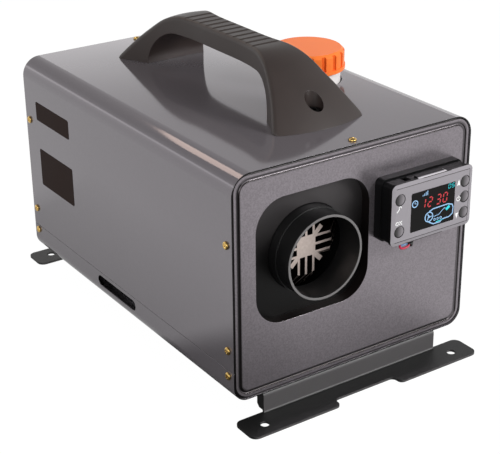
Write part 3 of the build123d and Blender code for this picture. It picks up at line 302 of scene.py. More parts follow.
def faced(material, colour, low, high):
    """Colours what faces -Y: from none of it where the normal's Y is high, to all of it where it is low."""
    tree = material.node_tree
    facing = add(tree, "SeparateXYZ", {"Vector": add(tree, "NewGeometry").outputs["Normal"]}).outputs["Y"]
    share = add(tree, "MapRange", {"Value": facing, "From Min": low, "From Max": high, "To Min": 1.0,
                                   "To Max": 0.0})
    return over(material, colour, share.outputs["Result"])


def off_face_shade(material, shade_colour):
    """Leaves what looks along Y as it is, and paints the rest dark: painted shade on faces that light hardly
    reaches.
    """
    tree = material.node_tree
    facing = add(tree, "SeparateXYZ", {"Vector": add(tree, "NewGeometry").outputs["Normal"]}).outputs["Y"]
    facing = add(tree, "Math", {0: facing}, operation="ABSOLUTE").outputs[0]
    # Share of the painted shade: full on faces that look across Y.
    cast = add(tree, "MapRange", {"Value": facing, "From Min": 0.55, "From Max": 0.95, "To Min": 1.0,
                                  "To Max": 0.0})
    return over(material, shade_colour, cast.outputs["Result"])


def seam_shade(material, middle_z, half, radius, bead, gap):
    """Painted deep shade in the gap round a pressed panel and in its bead.

    d is the distance to the panel's outline, a rounded rectangle, and negative inside it:
    q = max(|p| - half + radius, 0), d = |q| - radius, with p taken from the middle. The gap is where
    d > -gap. The bead is darkest where |d + bead| is inside core, on the side of it that looks left or down,
    away from the light, and its shoulders, out to the end of shoulder, are shaded by half. Its lit side
    keeps a third of that shade.
    """
    core, shoulder = (1.0 * MM, 1.6 * MM), (1.8 * MM, 2.6 * MM)
    shadow_way = (-1.0, 0, -0.5)
    tree = material.node_tree
    place = add(tree, "TexCoord").outputs["Object"]
    p = add(tree, "VectorMath", {0: place, 1: (0, 0, middle_z)}, operation="SUBTRACT").outputs[0]
    size = add(tree, "VectorMath", {0: p}, operation="ABSOLUTE").outputs[0]
    straight = (half[0] - radius, 1, half[1] - radius)
    beyond = add(tree, "VectorMath", {0: size, 1: straight}, operation="SUBTRACT").outputs[0]
    q = add(tree, "VectorMath", {0: beyond, 1: (0, 0, 0)}, operation="MAXIMUM").outputs[0]
    length = add(tree, "VectorMath", {0: q}, operation="LENGTH").outputs["Value"]
    sign = add(tree, "VectorMath", {0: p}, operation="SIGN").outputs[0]
    out = add(tree, "VectorMath", {0: q, 1: sign}, operation="MULTIPLY").outputs[0]
    out = add(tree, "VectorMath", {0: out}, operation="NORMALIZE").outputs[0]
    away = add(tree, "VectorMath", {0: out, 1: shadow_way}, operation="DOT_PRODUCT").outputs["Value"]
    shade = add(tree, "MapRange", {"Value": away, "From Min": 0.0, "From Max": 0.3, "To Min": 0.35,
                                   "To Max": 0.94}, interpolation_type="SMOOTHSTEP").outputs["Result"]
    off = add(tree, "Math", {0: length, 1: radius - bead}, operation="SUBTRACT").outputs[0]
    off = add(tree, "Math", {0: off}, operation="ABSOLUTE").outputs[0]
    deep = add(tree, "MapRange", {"Value": off, "From Min": core[0], "From Max": core[1],
                                  "To Min": 1.0, "To Max": 0.0}).outputs["Result"]
    deep = add(tree, "Math", {0: deep, 1: shade}, operation="MULTIPLY").outputs[0]
    wide = add(tree, "MapRange", {"Value": off, "From Min": shoulder[0], "From Max": shoulder[1],
                                  "To Min": 0.55, "To Max": 0.0}).outputs["Result"]
    groove = add(tree, "Math", {0: deep, 1: wide}, operation="MAXIMUM").outputs[0]
    rim = add(tree, "MapRange", {"Value": length, "From Min": radius - gap - 0.3 * MM,
                                 "From Max": radius - gap, "To Max": 0.97}).outputs["Result"]
    return over(material, "#0b0a0a", add(tree, "Math", {0: groove, 1: rim}, operation="MAXIMUM").outputs[0])


def shade_across_button(material, dark, pale):
    """Paints each hollow button across its width: painted shade on its left side and a painted highlight on its
    right.
    """
    tree = material.node_tree
    across = add(tree, "SeparateXYZ", {"Vector": add(tree, "TexCoord").outputs["Generated"]}).outputs["X"]
    left = add(tree, "MapRange", {"Value": across, "From Min": 0.22, "From Max": 0.72, "To Min": 1.0,
                                  "To Max": 0.0}, interpolation_type="SMOOTHSTEP")
    right = add(tree, "MapRange", {"Value": across, "From Min": 0.55, "From Max": 0.95},
                interpolation_type="SMOOTHSTEP")
    return over(over(material, pale, right.outputs["Result"]), dark, left.outputs["Result"])


def flute_shade(material, shade, low, high):
    """Paints the flutes round a cap darker, a painted shade, where r, the distance from its axis, is below low.

    r = |(x, y) - (0.5, 0.5)| is in widths of the cap. The shade fades out by r = high, and it leaves out
    flat faces that look up.
    """
    tree = material.node_tree
    place = add(tree, "TexCoord").outputs["Generated"]
    off = add(tree, "VectorMath", {0: place, 1: (0.5, 0.5, 0.0)}, operation="SUBTRACT").outputs[0]
    off = add(tree, "VectorMath", {0: off, 1: (1.0, 1.0, 0.0)}, operation="MULTIPLY").outputs[0]
    r = add(tree, "VectorMath", {0: off}, operation="LENGTH").outputs["Value"]
    deep = add(tree, "MapRange", {"Value": r, "From Min": low, "From Max": high, "To Min": 0.6,
                                  "To Max": 0.0}).outputs["Result"]
    up = add(tree, "SeparateXYZ", {"Vector": add(tree, "NewGeometry").outputs["Normal"]}).outputs["Z"]
    side = add(tree, "MapRange", {"Value": up, "From Min": 0.3, "From Max": 0.6, "To Min": 1.0,
                                  "To Max": 0.0}).outputs["Result"]
    share = add(tree, "Math", {0: deep, 1: side}, operation="MULTIPLY").outputs[0]
    return over(material, shade, share)


def lit_from_above(material, pale, low, high):
    """Lightens a wall towards its top, from low to high, where light gets into the recess."""
    tree = material.node_tree
    height = add(tree, "SeparateXYZ", {"Vector": add(tree, "TexCoord").outputs["Object"]}).outputs["Z"]
    share = add(tree, "MapRange", {"Value": height, "From Min": low, "From Max": high},
                interpolation_type="SMOOTHSTEP")
    return over(material, pale, share.outputs["Result"])


# ------------------------------------------------------------------ what each slot is made of
panel_middle = 123.75 * MM    # height of the middle of the pressed panel
panel_half = (123.7 * MM, 100.95 * MM)
panel_corner = 15 * MM
bead_inset = 5.4 * MM         # from the panel's outline to the middle of its bead
panel_gap = 1.1 * MM
cap_width = 70.4              # millimetres, as the two radii are
flute_radius, rib_radius = 33.4, 34.1
collar_rim = -0.2018          # pale in front of this y

materials = {
    # Grey enamel, smooth enough to mirror the room in soft patches; faces that look ahead are painted
    # near-black, a painted shade for the dark gap round the front panel.
    "case_paint": faced(enamel("case_enamel", "#797479", 0.08, 0.05, peel_coarse, 0.42),
                        "#0e0d0e", -0.95, -0.8),
    # The same grey, duller: its peel breaks up what it mirrors; its gap and bead get painted shade, and its
    # faces that don't look along Y, as in its recess, are painted dark, a painted shade.
    "panel_paint": off_face_shade(seam_shade(enamel("panel_enamel", "#847e83", 0.28, 0.45, peel_fine, 0.7),
                                  panel_middle, panel_half, panel_corner, bead_inset, panel_gap), "#2c2625"),
    # Satin black, painted grey where it looks ahead: a painted reflection of the pale floor.
    "black_powder_coat": faced(powder_coat("black_powder_coat", "#131313"), "#4a4849", -0.95, -0.7),
    # Cool and bright; the yellow one has the warm gold of its passivation.
    "zinc_steel": metal("bright_zinc_steel", "#b9bcc0", "#9fa2a6", 0.30),
    "yellow_zinc": metal("yellow_zinc_plate", "#e0c078", "#a98444", 0.20),
    # Warm black, dull from hands.
    "handle_plastic": moulded("handle_nylon", "#2a2321", "#362c29", 0.46, 0.9, 0.22, 0.5),
    # Waxy white, and dead matt foam under it.
    "tank_plastic": moulded("tank_polyethylene", "#e8e4e2", "#f2efee", 0.38, 2.0, 0.10),
    "foam": moulded("grey_foam", "#333336", "#3c3c40", 0.85, 1.2, 0.60),
    # Turned, with a soft golden shine.
    "brass_fitting": metal("turned_brass", "#c8a765", "#b18e4c", 0.28),
    # Bright and even, with a weak shine, and painted darker in its flutes: painted shade.
    "orange_plastic": flute_shade(moulded("orange_polypropylene", "#fd7a30", "#ff863e", 0.40, 1.6, 0.08,
                                     gloss=0.15), "#d94a08", flute_radius / cap_width, rib_radius / cap_width),
    # Matt, and the gasket quite without shine.
    "black_rubber": moulded("nitrile_rubber", "#161616", "#1d1d1d", 0.60, 0.8, 0.25),
    "gasket_fibre": moulded("gasket_fibre", "#55585a", "#5f6264", 0.80, 0.9, 0.40),
    # Drawn tube, streaked along its length.
    "stainless_steel": metal("stainless_steel", "#b4b2ae", "#98958f", 0.32, streak=(1, 1, 6)),
    # Sandy and pale, with a broad, dull shine.
    "cast_aluminium": metal("cast_aluminium", "#d8cbc4", "#c2b3ab", 0.50, casting_grain),
    # Deep black with a faint sheen.
    "black_plastic": moulded("black_nylon", "#0e0e0f", "#141415", 0.42, 0.9, 0.22, gloss=0.10),
    # Slick and tinted, as fuel line is; the filter's body and the cable are as smooth.
    "hose_nylon": moulded("nylon_fuel_line", "#3b7d86", "#45878f", 0.30, 2.0, 0.05),
    "clear_plastic": moulded("clear_nylon", "#c9c8c2", "#d2d1cc", 0.25, 2.0, 0.05),
    "cable_black": moulded("cable_sheath", "#121212", "#181818", 0.45, 1.0, 0.20),
    # Black that goes grey where it looks ahead, so that the bevels round it read as darker.
    "bezel_plastic": faced(moulded("bezel_abs", "#100f10", "#151415", 0.42, 0.8, 0.12, 0.3, 0.12),
                           "#969297", -0.55, -0.35),
    # Nearly black and glossy, so that only what is lit shows.
    "screen_glass": moulded("display_window", "#070606", "#0a0908", 0.12, 3.0, 0.0, gloss=0.12),
    # Solder mask over laminate, and PVC on the wires.
    "circuit_board": moulded("green_laminate", "#0f4a2c", "#145636", 0.45, 1.5, 0.10),
    "wire_red": moulded("red_wire", "#c0173e", "#cc2850", 0.35, 1.5, 0.05),
    # Soft and matt; each cap is hollow, and its left side is painted dark and its right side pale: painted
    # shade and a painted highlight.
    "button_plastic": shade_across_button(moulded("button_silicone", "#6a666a", "#706c70", 0.55, 0.7, 0.20, 0.3),
                             "#0b0a0a", "#8c888c"),
}
wire_blue = moulded("blue_wire", "#7aa4d6", "#88aee0", 0.35, 1.5, 0.05)
plate_dark = moulded("dark_label_film", "#2a1f1c", "#302421", 0.60, 1.2, 0.08, gloss=0.04)
strip_grey = moulded("clip_strip", "#cfcbcf", "#d6d2d6", 0.40, 0.9, 0.10)
# Dark lines of painted shade in the bezel's creases and edge gaps.
shade_line_look = moulded("painted_shade_line", "#353234", "#3c393b", 0.50, 0.9, 0.10, gloss=0.2)
print_white = moulded("white_print", "#f2f2f2", "#ffffff", 0.50, 1.0, 0.0)
lit_red = glowing("red_segments", "#a3262e", 0.6)
lit_teal = glowing("teal_segments", "#1fb4bc", 0.55)
lit_blue = glowing("pale_blue_lines", "#7fa3c4", 0.55)
# Nodes that don't look like the rest of their slot.
own_look = {
    # Painted near-black, a painted shade, for the recess lies in shadow; lit_from_above lightens it towards the
    # top with painted light.
    "bulkhead": lit_from_above(enamel("bulkhead_enamel", "#0f0e0e", 0.40, 0.45, peel_fine, 0.6), "#454243",
                               130 * MM, 192 * MM),
    "outlet_collar": rimmed(moulded("collar_nylon", "#0d0d0e", "#121213", 0.40, 0.9, 0.22), "#6d6b6b",
                            collar_rim),
    # Faces of the casting that don't look along Y are painted dark: painted shade on its deeper walls.
    "heat_exchanger": off_face_shade(metal("exchanger_casting", "#ddd0c9", "#c8b9b1", 0.50, casting_grain),
                               "#2e2926"),
    "handle_screws": metal("black_oxide_steel", "#2a2a2b", "#1d1d1e", 0.40),
}


def dress_nodes():
    """Gives each node of the model its own look, or else the material of its slot."""
    for part in frame["record"]["subparts"]:
        mesh = nodes[part["node"]].data
        mesh.materials.clear()
        mesh.materials.append(own_look.get(part["node"], materials[part["material_slot"]]))


dress_nodes()

# ------------------------------------------------------------------ camera
camera_place = Vector((-0.63343, -0.96807, 0.61393))
camera_heading = 0.591987     # radians, from +Y to +X
camera_pitch = 0.431939       # below the horizon
camera_roll = -0.0102416
camera_lens = 94.74           # millimetres, as the sensor is
camera_sensor = 36


def make_camera():
    """The camera of the photograph.

    ahead = (sin h cos p, cos h cos p, -sin p), with h the heading and p the pitch, and the picture's right and
    top are the level direction and what stands square to it, turned by the roll.
    """
    heading, pitch, roll = camera_heading, camera_pitch, camera_roll
    ahead = Vector((math.sin(heading) * math.cos(pitch), math.cos(heading) * math.cos(pitch), -math.sin(pitch)))
    level = Vector((math.cos(heading), -math.sin(heading), 0))
    up = level.cross(ahead)
    right = math.cos(roll) * level + math.sin(roll) * up
    top = -math.sin(roll) * level + math.cos(roll) * up
    data = bpy.data.cameras.new("camera")
    data.sensor_fit = "HORIZONTAL"
    data.sensor_width = camera_sensor
    data.lens = camera_lens
    data.clip_start = 0.05
    camera = bpy.data.objects.new("camera", data)
    turn = Matrix((right, top, -ahead)).transposed().to_4x4()
    camera.matrix_world = Matrix.Translation(camera_place) @ turn
    bpy.context.scene.collection.objects.link(camera)
    bpy.context.scene.camera = camera


# ------------------------------------------------------------------ floor
floor_half = 4.0              # half the width of the floor
floor_grey = 0.30             # of its matt part, which takes the shadow
floor_glow = 1.10             # strength of its own light, which keeps it white
glow_share = 0.90             # of the glow in what the camera and gloss see
# Metres on the floor, and shares of the full glow for what ends in low or loss.
footprint = (0.06, 0.19, 0.0)                       # half its width and depth, where the painted shadow in what gloss mirrors starts
front_reach, front_low = 0.20, 0.16
right_start, right_end, right_away = 0.10, 0.20, 0.28     # x over which a point gets this much farther away
side_reach, side_low = 0.23, 0.36
side_edge = 0.012                                   # side sets in over this much beside the footprint,
side_front, side_back = -0.21, -0.19                # and over this y, behind the front foot
left_slope, left_start, left_end = 0.36, -0.137, -0.082   # x + left_slope y over which left fades out,
left_front, left_back = -0.25, -0.20                # and the y over which it does towards the object
left_loss = 0.55
toward_camera = (-0.707, -0.707, 0.0)
end_start, end_stop, end_low = 0.78, 0.94, 0.12     # cosine to toward_camera over which end falls


def make_floor():
    """Pale floor that is white to the camera, still takes a soft shadow, and has a painted shadow round the
    object in the glow that gloss mirrors.

    What gloss sees is max(front, side) (1 - left) end, and each fades by where the point lies:
    - front rises from front_low at the footprint to 1, over front_reach ahead of it or off to its right;
    - side rises from side_low to 1 over side_reach beside the footprint, behind the front foot;
    - left is up to left_loss in front of the object, left of the line x + left_slope y = -0.11;
    - end falls to end_low where the point lies in the camera's direction, a painted dark patch in what gloss
      mirrors.
    """
    material, tree, shader = new_material("studio_floor")
    shader.inputs["Base Color"].default_value = (floor_grey, floor_grey, floor_grey, 1)
    shader.inputs["Roughness"].default_value = 0.9
    place = add(tree, "TexCoord").outputs["Object"]
    spot = add(tree, "SeparateXYZ", {"Vector": place})
    size = add(tree, "VectorMath", {0: place}, operation="ABSOLUTE")
    beyond = add(tree, "VectorMath", {0: size.outputs[0], 1: footprint}, operation="SUBTRACT")
    beyond = add(tree, "SeparateXYZ", {"Vector": beyond.outputs[0]})

    right = add(tree, "MapRange", {"Value": spot.outputs["X"], "From Min": right_start,
                                   "From Max": right_end, "To Max": right_away})
    forward = add(tree, "MapRange", {"Value": beyond.outputs["Y"], "To Max": 1.0})
    away = add(tree, "CombineXYZ", {"X": right.outputs["Result"], "Y": forward.outputs["Result"]})
    away = add(tree, "VectorMath", {0: away.outputs[0]}, operation="LENGTH")
    front = add(tree, "MapRange", {"Value": away.outputs["Value"], "From Max": front_reach,
                                   "To Min": front_low}, interpolation_type="SMOOTHSTEP")

    side = add(tree, "MapRange", {"Value": beyond.outputs["X"], "From Max": side_reach, "To Min": side_low})
    outside = add(tree, "MapRange", {"Value": beyond.outputs["X"], "From Max": side_edge})
    beside = add(tree, "MapRange", {"Value": spot.outputs["Y"], "From Min": side_front,
                                    "From Max": side_back})
    side = add(tree, "Math", {0: side.outputs["Result"], 1: outside.outputs["Result"]}, operation="MULTIPLY")
    side = add(tree, "Math", {0: side.outputs[0], 1: beside.outputs["Result"]}, operation="MULTIPLY")
    near = add(tree, "Math", {0: front.outputs["Result"], 1: side.outputs[0]}, operation="MAXIMUM")

    across = add(tree, "VectorMath", {0: place, 1: (1.0, left_slope, 0.0)}, operation="DOT_PRODUCT")
    left = add(tree, "MapRange", {"Value": across.outputs["Value"], "From Min": left_start,
                                  "From Max": left_end, "To Min": left_loss, "To Max": 0.0},
               interpolation_type="SMOOTHSTEP")
    ahead = add(tree, "MapRange", {"Value": spot.outputs["Y"], "From Min": left_front,
                                   "From Max": left_back, "To Min": 1.0, "To Max": 0.0})
    left = add(tree, "Math", {0: left.outputs["Result"], 1: ahead.outputs["Result"]}, operation="MULTIPLY")
    left = add(tree, "Math", {0: 1.0, 1: left.outputs[0]}, operation="SUBTRACT")
    near = add(tree, "Math", {0: near.outputs[0], 1: left.outputs[0]}, operation="MULTIPLY")

    heading = add(tree, "VectorMath", {0: place}, operation="NORMALIZE")
    toward = add(tree, "VectorMath", {0: heading.outputs[0], 1: toward_camera}, operation="DOT_PRODUCT")
    end = add(tree, "MapRange", {"Value": toward.outputs["Value"], "From Min": end_start,
                                 "From Max": end_stop, "To Min": 1.0, "To Max": end_low},
              interpolation_type="SMOOTHSTEP")
    faded = add(tree, "Math", {0: near.outputs[0], 1: end.outputs["Result"]}, operation="MULTIPLY")

    path = add(tree, "LightPath")
    level = add(tree, "Mix", {0: path.outputs["Is Camera Ray"], 2: faded.outputs[0], 3: 1.0})
    strength = add(tree, "Math", {0: level.outputs[0], 1: floor_glow}, operation="MULTIPLY")
    glow = add(tree, "Emission", {"Color": (1, 1, 1, 1), "Strength": strength.outputs[0]})
    seen = add(tree, "Math", {0: path.outputs["Is Camera Ray"], 1: path.outputs["Is Glossy Ray"]},
               operation="MAXIMUM")
    share = add(tree, "Math", {0: seen.outputs[0], 1: glow_share}, operation="MULTIPLY")
    mixed = add(tree, "MixShader", {0: share.outputs[0], 1: shader.outputs["BSDF"], 2: glow.outputs[0]})
    tree.links.new(mixed.outputs[0], tree.nodes["Material Output"].inputs["Surface"])

    half = floor_half
    mesh = bpy.data.meshes.new("floor")
    mesh.from_pydata([(-half, -half, 0), (half, -half, 0), (half, half, 0), (-half, half, 0)], [],
                     [(0, 1, 2, 3)])
    mesh.materials.append(material)
    floor = bpy.data.objects.new("floor", mesh)
    bpy.context.scene.collection.objects.link(floor)


# ------------------------------------------------------------------ light
world_light = 0.50            # on matt surfaces
studio_peak = 2.1             # brightest part of what gloss mirrors
# Rise of the ray, which is 0 at the horizon and 1 overhead, and its share of the peak.
studio_levels = ((0.0, 0.48), (0.18, 0.55), (0.26, 0.90), (0.34, 0.33), (0.50, 0.24), (1.0, 0.12))


def make_world():
    """White to the camera, an even light on the object, and a studio for gloss to mirror.

    Gloss sees a bright sweep near the horizon that falls off to a dark ceiling, by how far the ray rises.
    """
    world = bpy.data.worlds.new("studio")
    bpy.context.scene.world = world
    world.use_nodes = True
    tree = world.node_tree
    path = add(tree, "LightPath")
    rise = add(tree, "SeparateXYZ", {"Vector": add(tree, "TexCoord").outputs["Generated"]}).outputs["Z"]
    sweep = add(tree, "ValToRGB", {"Fac": rise})
    ramp = sweep.color_ramp
    ramp.interpolation = "EASE"
    while len(ramp.elements) < len(studio_levels):
        ramp.elements.new(1.0)
    for stop, (place, level) in zip(ramp.elements, studio_levels):
        stop.position = place
        stop.color = (level, level, level, 1)
    bright = add(tree, "Math", {0: sweep.outputs["Color"], 1: studio_peak}, operation="MULTIPLY")
    mirrored = add(tree, "Mix", {0: path.outputs["Is Glossy Ray"], 2: world_light, 3: bright.outputs[0]})
    seen = add(tree, "Math", {0: path.outputs["Is Camera Ray"], 1: path.outputs["Is Transmission Ray"]},
               operation="MAXIMUM")
    level = add(tree, "Mix", {0: seen.outputs[0], 2: mirrored.outputs[0], 3: 1.0})
    tree.links.new(level.outputs[0], tree.nodes["Background"].inputs["Strength"])
    tree.nodes["Background"].inputs["Color"].default_value = (1, 1, 1, 1)


def softbox(name, place, aim, size, power, tint=(1, 1, 1)):
    """Square lamp, size metres wide and power watts strong, turned from its place towards aim."""
    data = bpy.data.lights.new(name, "AREA")
    data.size = size
    data.energy = power
    data.color = tint
    lamp = bpy.data.objects.new(name, data)
    turn = (Vector(aim) - Vector(place)).to_track_quat("-Z", "Y").to_matrix().to_4x4()
    lamp.matrix_world = Matrix.Translation(place) @ turn
    bpy.context.scene.collection.objects.link(lamp)


make_camera()
make_floor()
make_world()
softbox("key", (1.1, -1.7, 1.2), (0, -0.1, 0.12), 0.7, 34)        # on the front, from the right
softbox("fill", (-1.6, -1.5, 0.9), (0, 0, 0.12), 1.2, 16)        # on the left wall
# Warm light from behind, which the top and the bends mirror.
softbox("window", (-0.16, 0.80, 1.10), (-0.11, -0.12, 0.20), 0.42, 1.5, (1.0, 0.79, 0.65))


# ------------------------------------------------------------------ case screws
screw_head = 3.5 * MM
screw_rise = 2.2 * MM
screw_rim = 0.9 * MM
crown_power = 2.6
cross_reach = 2.1 * MM
cross_half = 0.42 * MM
cross_depth = 1.1 * MM
shank_share = 0.54            # of the head's radius
shank_length = 8 * MM
screw_inset = 8 * MM          # from the front and rear edges of the cover
screw_heights = (0.165, 0.069, 0.045)
first_turn, turn_step = 0.4, 1.3      # radians, from one screw's slot to the next


def screw_surface():
    """Pan head with a cross recess, and its shank: height over radius and angle.

    The crown is rim + (rise - rim) sqrt(1 - (r / head)^crown_power). Where a point lies within cross_half of
    either axis and inside cross_reach, it sinks towards the middle by cross_depth.
    """
    radius = np.concatenate([[0.0], np.linspace(0.05, 1, 26) * screw_head])
    angle = np.linspace(0, 2 * math.pi, 64, endpoint=False)
    r, theta = np.meshgrid(radius, angle, indexing="ij")
    x, y = r * np.cos(theta), r * np.sin(theta)
    bulge = np.sqrt(np.clip(1 - (r / screw_head) ** crown_power, 0, 1))
    crown = screw_rim + (screw_rise - screw_rim) * bulge
    near = np.minimum(np.abs(x), np.abs(y))
    slot = np.clip((cross_half - near) / (0.35 * cross_half), 0, 1)
    reach = np.clip((cross_reach - r) / (0.5 * cross_reach), 0, 1)
    top = np.stack([x, y, crown - cross_depth * slot * reach], axis=-1)
    rings = [top]
    for share, depth in ((1.0, 0.0), (shank_share, 0.0), (shank_share, -shank_length)):
        rings.append(np.stack([x[-1] * share, y[-1] * share, np.full_like(x[-1], depth)], axis=-1)[None])
    rings = np.concatenate(rings)
    faces = [face[::-1] for face in grid_faces(len(rings), len(angle))]
    faces.append([(len(rings) - 1) * len(angle) + i for i in range(len(angle))])
    return rings.reshape(-1, 3), faces


def case_screws():
    """The fourteen screws, six in each side and two in the top, each turned to its own angle."""
    low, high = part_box("cover_shell")
    points, faces = screw_surface()
    rows = (low.y + screw_inset, high.y - screw_inset)
    seats = [(side, y, z) for side in (-1, 1) for y in rows for z in screw_heights]
    seats += [(0, y, high.z) for y in rows]
    screws = []
    for number, (side, y, z) in enumerate(seats):
        spin = Matrix.Rotation(first_turn + number * turn_step, 3, "Z")
        turn = Matrix.Rotation(side * math.pi / 2, 3, "Y") @ spin
        screws.append((points @ np.array(turn).T + [side * high.x, y, z], faces))
    piece = mesh_piece("cross_head_screws", *join(screws), materials["yellow_zinc"])
    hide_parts("case_screws")


case_screws()

# ------------------------------------------------------------------ blank films on the left wall
# Each film's y from, y to, z from, z to, in millimetres.
bare_areas = ((93, 162, 169.5, 188.5), (91, 160, 101.5, 140))
film_corner = 2.0 * MM
film_thickness, film_edge = 0.25 * MM, 0.1 * MM


def bare_plates():
    """Two blank films with rounded corners."""
    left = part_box("cover_shell")[0].x
    across, up = (0, -1, 0), (0, 0, 1)
    plates = []
    for y0, y1, z0, z1 in bare_areas:
        outline = rounded_outline((y1 - y0) * MM, (z1 - z0) * MM, film_corner)
        place = np.array([left, (y0 + y1) / 2 * MM, (z0 + z1) / 2 * MM])
        plates.append(plate(outline, place, across, up, film_thickness, film_edge))
    piece = mesh_piece("blank_plates", *join(plates), plate_dark, smooth=False)


bare_plates()

# ------------------------------------------------------------------ controller face
# Shapes on the controller are drawn in millimetres, to the right and up from the middle of the bezel's face.
control = np.array([64, -208.5, 162.1]) * MM      # where that middle is
right_hand, upward = (1, 0, 0), (0, 0, 1)
segments = {"0": "abcdef", "1": "bc", "2": "abged", "3": "abgcd", "4": "fgbc", "5": "afgcd",
            "6": "afgedc", "7": "abc", "8": "abcdefg", "9": "abcdfg"}
window_place = (0.4, 0.03, -1.4)                  # x, y, z from that middle
window_size, window_corner = (48.8, 35.9), 1.2
window_thickness, window_edge = 0.10, 0.03
time_digit = (4.2, 8.4)       # width and height
level_digit = (2.5, 3.7)
lit_lift, lit_thickness = 0.07, 0.04              # in front of the window
print_thickness = 0.08
digit_slant = 0.12            # how far a digit leans to the right for each unit of height


def flat_shapes(name, shapes, material, lift, thickness):
    """Piece of thin printed or lit shapes, each an outline, that lie lift in front of the bezel's face."""
    place = control + [0, -lift, 0]
    made = [plate(np.asarray(shape, float) * MM, place, right_hand, upward, thickness) for shape in shapes]
    return mesh_piece(name, *join(made), material, smooth=False)


def ring(x, z, outer, inner, start=0.0, end=360.0, steps=28):
    """Band between two radii from one angle to another, in degrees, as quads in order."""
    angle = np.radians(np.linspace(start, end, steps))
    turn = np.stack([np.cos(angle), np.sin(angle)], axis=-1)
    near, far = (x, z) + inner * turn, (x, z) + outer * turn
    return [np.array([near[i], far[i], far[i + 1], near[i + 1]]) for i in range(steps - 1)]


def stroke(x0, z0, x1, z1, width):
    """Straight line of a given width."""
    length = math.hypot(x1 - x0, z1 - z0)
    nx, nz = -(z1 - z0) / length * width / 2, (x1 - x0) / length * width / 2
    return [(x0 - nx, z0 - nz), (x1 - nx, z1 - nz), (x1 + nx, z1 + nz), (x0 + nx, z0 + nz)]


def strokes(points, width):
    """Lines of one width from each point to the next."""
    return [stroke(*one, *two, width) for one, two in zip(points[:-1], points[1:])]


def digit(number, x, z, width, height):
    """Seven-segment digit with slanted strokes, whose lower left corner is at (x, z)."""
    half, line = height / 2, height * 0.13
    gap = line * 0.6
    ends = {"a": (0, height, width, height), "b": (width, height, width, half), "c": (width, half, width, 0),
            "d": (0, 0, width, 0), "e": (0, 0, 0, half), "f": (0, half, 0, height),
            "g": (0, half, width, half)}
    shapes = []
    for letter in segments[number]:
        x0, z0, x1, z1 = ends[letter]
        length = math.hypot(x1 - x0, z1 - z0)
        ux, uz = (x1 - x0) / length * gap, (z1 - z0) / length * gap
        bar = stroke(x0 + ux, z0 + uz, x1 - ux, z1 - uz, line)
        shapes.append([(x + px + digit_slant * pz, z + pz) for px, pz in bar])
    return shapes


def signal_bars():
    """Four bars of rising height."""
    return [stroke(-11.4 + bar * 1.7, 11.4, -11.4 + bar * 1.7, 12.6 + bar * 1.0, 0.75) for bar in range(4)]


def clock_sign():
    """Round clock with two hands."""
    return ring(-19.8, 6.5, 3.4, 2.5) + [stroke(-19.8, 6.2, -19.8, 8.1, 0.6),
                                         stroke(-20.1, 6.5, -18.4, 6.5, 0.6)]


def heater_sketch():
    """Plain heater: a fan with three blades, the body, the duct through it and three vents."""
    fan_x, fan_z = -3.6, -9.5
    shapes = ring(fan_x, fan_z, 4.8, 3.8) + ring(fan_x, fan_z, 1.1, 0.0)
    for angle in (90, 210, 330):
        a = math.radians(angle)
        shapes.append(stroke(fan_x + 1.0 * math.cos(a), fan_z + 1.0 * math.sin(a),
                             fan_x + 3.2 * math.cos(a + 0.6), fan_z + 3.2 * math.sin(a + 0.6), 0.9))
    shapes += strokes(((-3.6, -4.7), (0.8, -3.0), (17.5, -2.6), (22.4, -4.2), (23.6, -7.0), (23.2, -12.8),
                       (19.3, -15.0), (11.4, -15.2), (9.6, -17.2), (1.6, -17.2), (-3.6, -14.3)), 1.0)
    shapes += strokes(((1.8, -10.4), (7.5, -9.8), (11.5, -6.6), (14.6, -5.0)), 0.6)
    for x in (3.0, 6.4, 9.8):
        shapes += ring(x, -13.4, 1.2, 0.6, steps=14)
    return shapes


def display():
    """Dark glass with what is lit on it: the time, a level, signal bars, a clock and the sketch of a heater."""
    width, height = window_size
    outline = rounded_outline(width * MM, height * MM, window_corner * MM)
    glass = plate(outline, control + np.array(window_place) * MM, right_hand, upward,
                  window_thickness * MM, window_edge * MM)
    glass = mesh_piece("display_window", *glass, materials["screen_glass"], smooth=False)
    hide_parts("controller_screen")
    red, teal = [], []
    for number, x in zip("1230", (-13.2, -5.6, 3.9, 11.2)):
        red += digit(number, x, 0.3, *time_digit)
    for number, x in zip("05", (16.9, 20.9)):
        teal += digit(number, x, 11.8, *level_digit)
    teal += [stroke(15.4, -7.4, 19.4, -5.0, 2.6), stroke(4.6, -16.2, 12.4, -15.6, 0.7)]     # outlet and foot
    pale = signal_bars() + clock_sign() + heater_sketch()
    for name, shapes, material in (("display_time", red, lit_red), ("display_level", teal, lit_teal),
                                   ("display_lines", pale, lit_blue)):
        piece = flat_shapes(name, shapes, material, lit_lift * MM, lit_thickness * MM)


def printed_signs():
    """White signs beside the buttons: up, down, power, set and OK."""
    up_arrow = [(26.8, 11.6), (30.6, 11.6), (28.8, 17.4)]
    down_arrow = [(26.4, -14.0), (28.2, -19.4), (30.0, -14.0)]
    power = ring(29.2, -0.9, 2.4, 1.6, 120, 420) + [stroke(29.2, -0.8, 29.2, 2.0, 0.7)]
    spanner = [stroke(-39.4, 3.2, -36.6, 6.2, 1.0)] + ring(-35.9, 6.9, 1.7, 0.8, -20, 200, 12)
    letter_o = ring(-38.6, -7.0, 1.9, 1.05)
    letter_k = [stroke(-35.8, -8.8, -35.8, -5.2, 0.85), stroke(-35.7, -7.2, -33.5, -5.3, 0.85),
                stroke(-35.0, -6.8, -33.3, -8.8, 0.85)]
    shapes = [up_arrow, down_arrow] + power + spanner + letter_o + letter_k
    piece = flat_shapes("printed_signs", shapes, print_white, 0.0, print_thickness * MM)


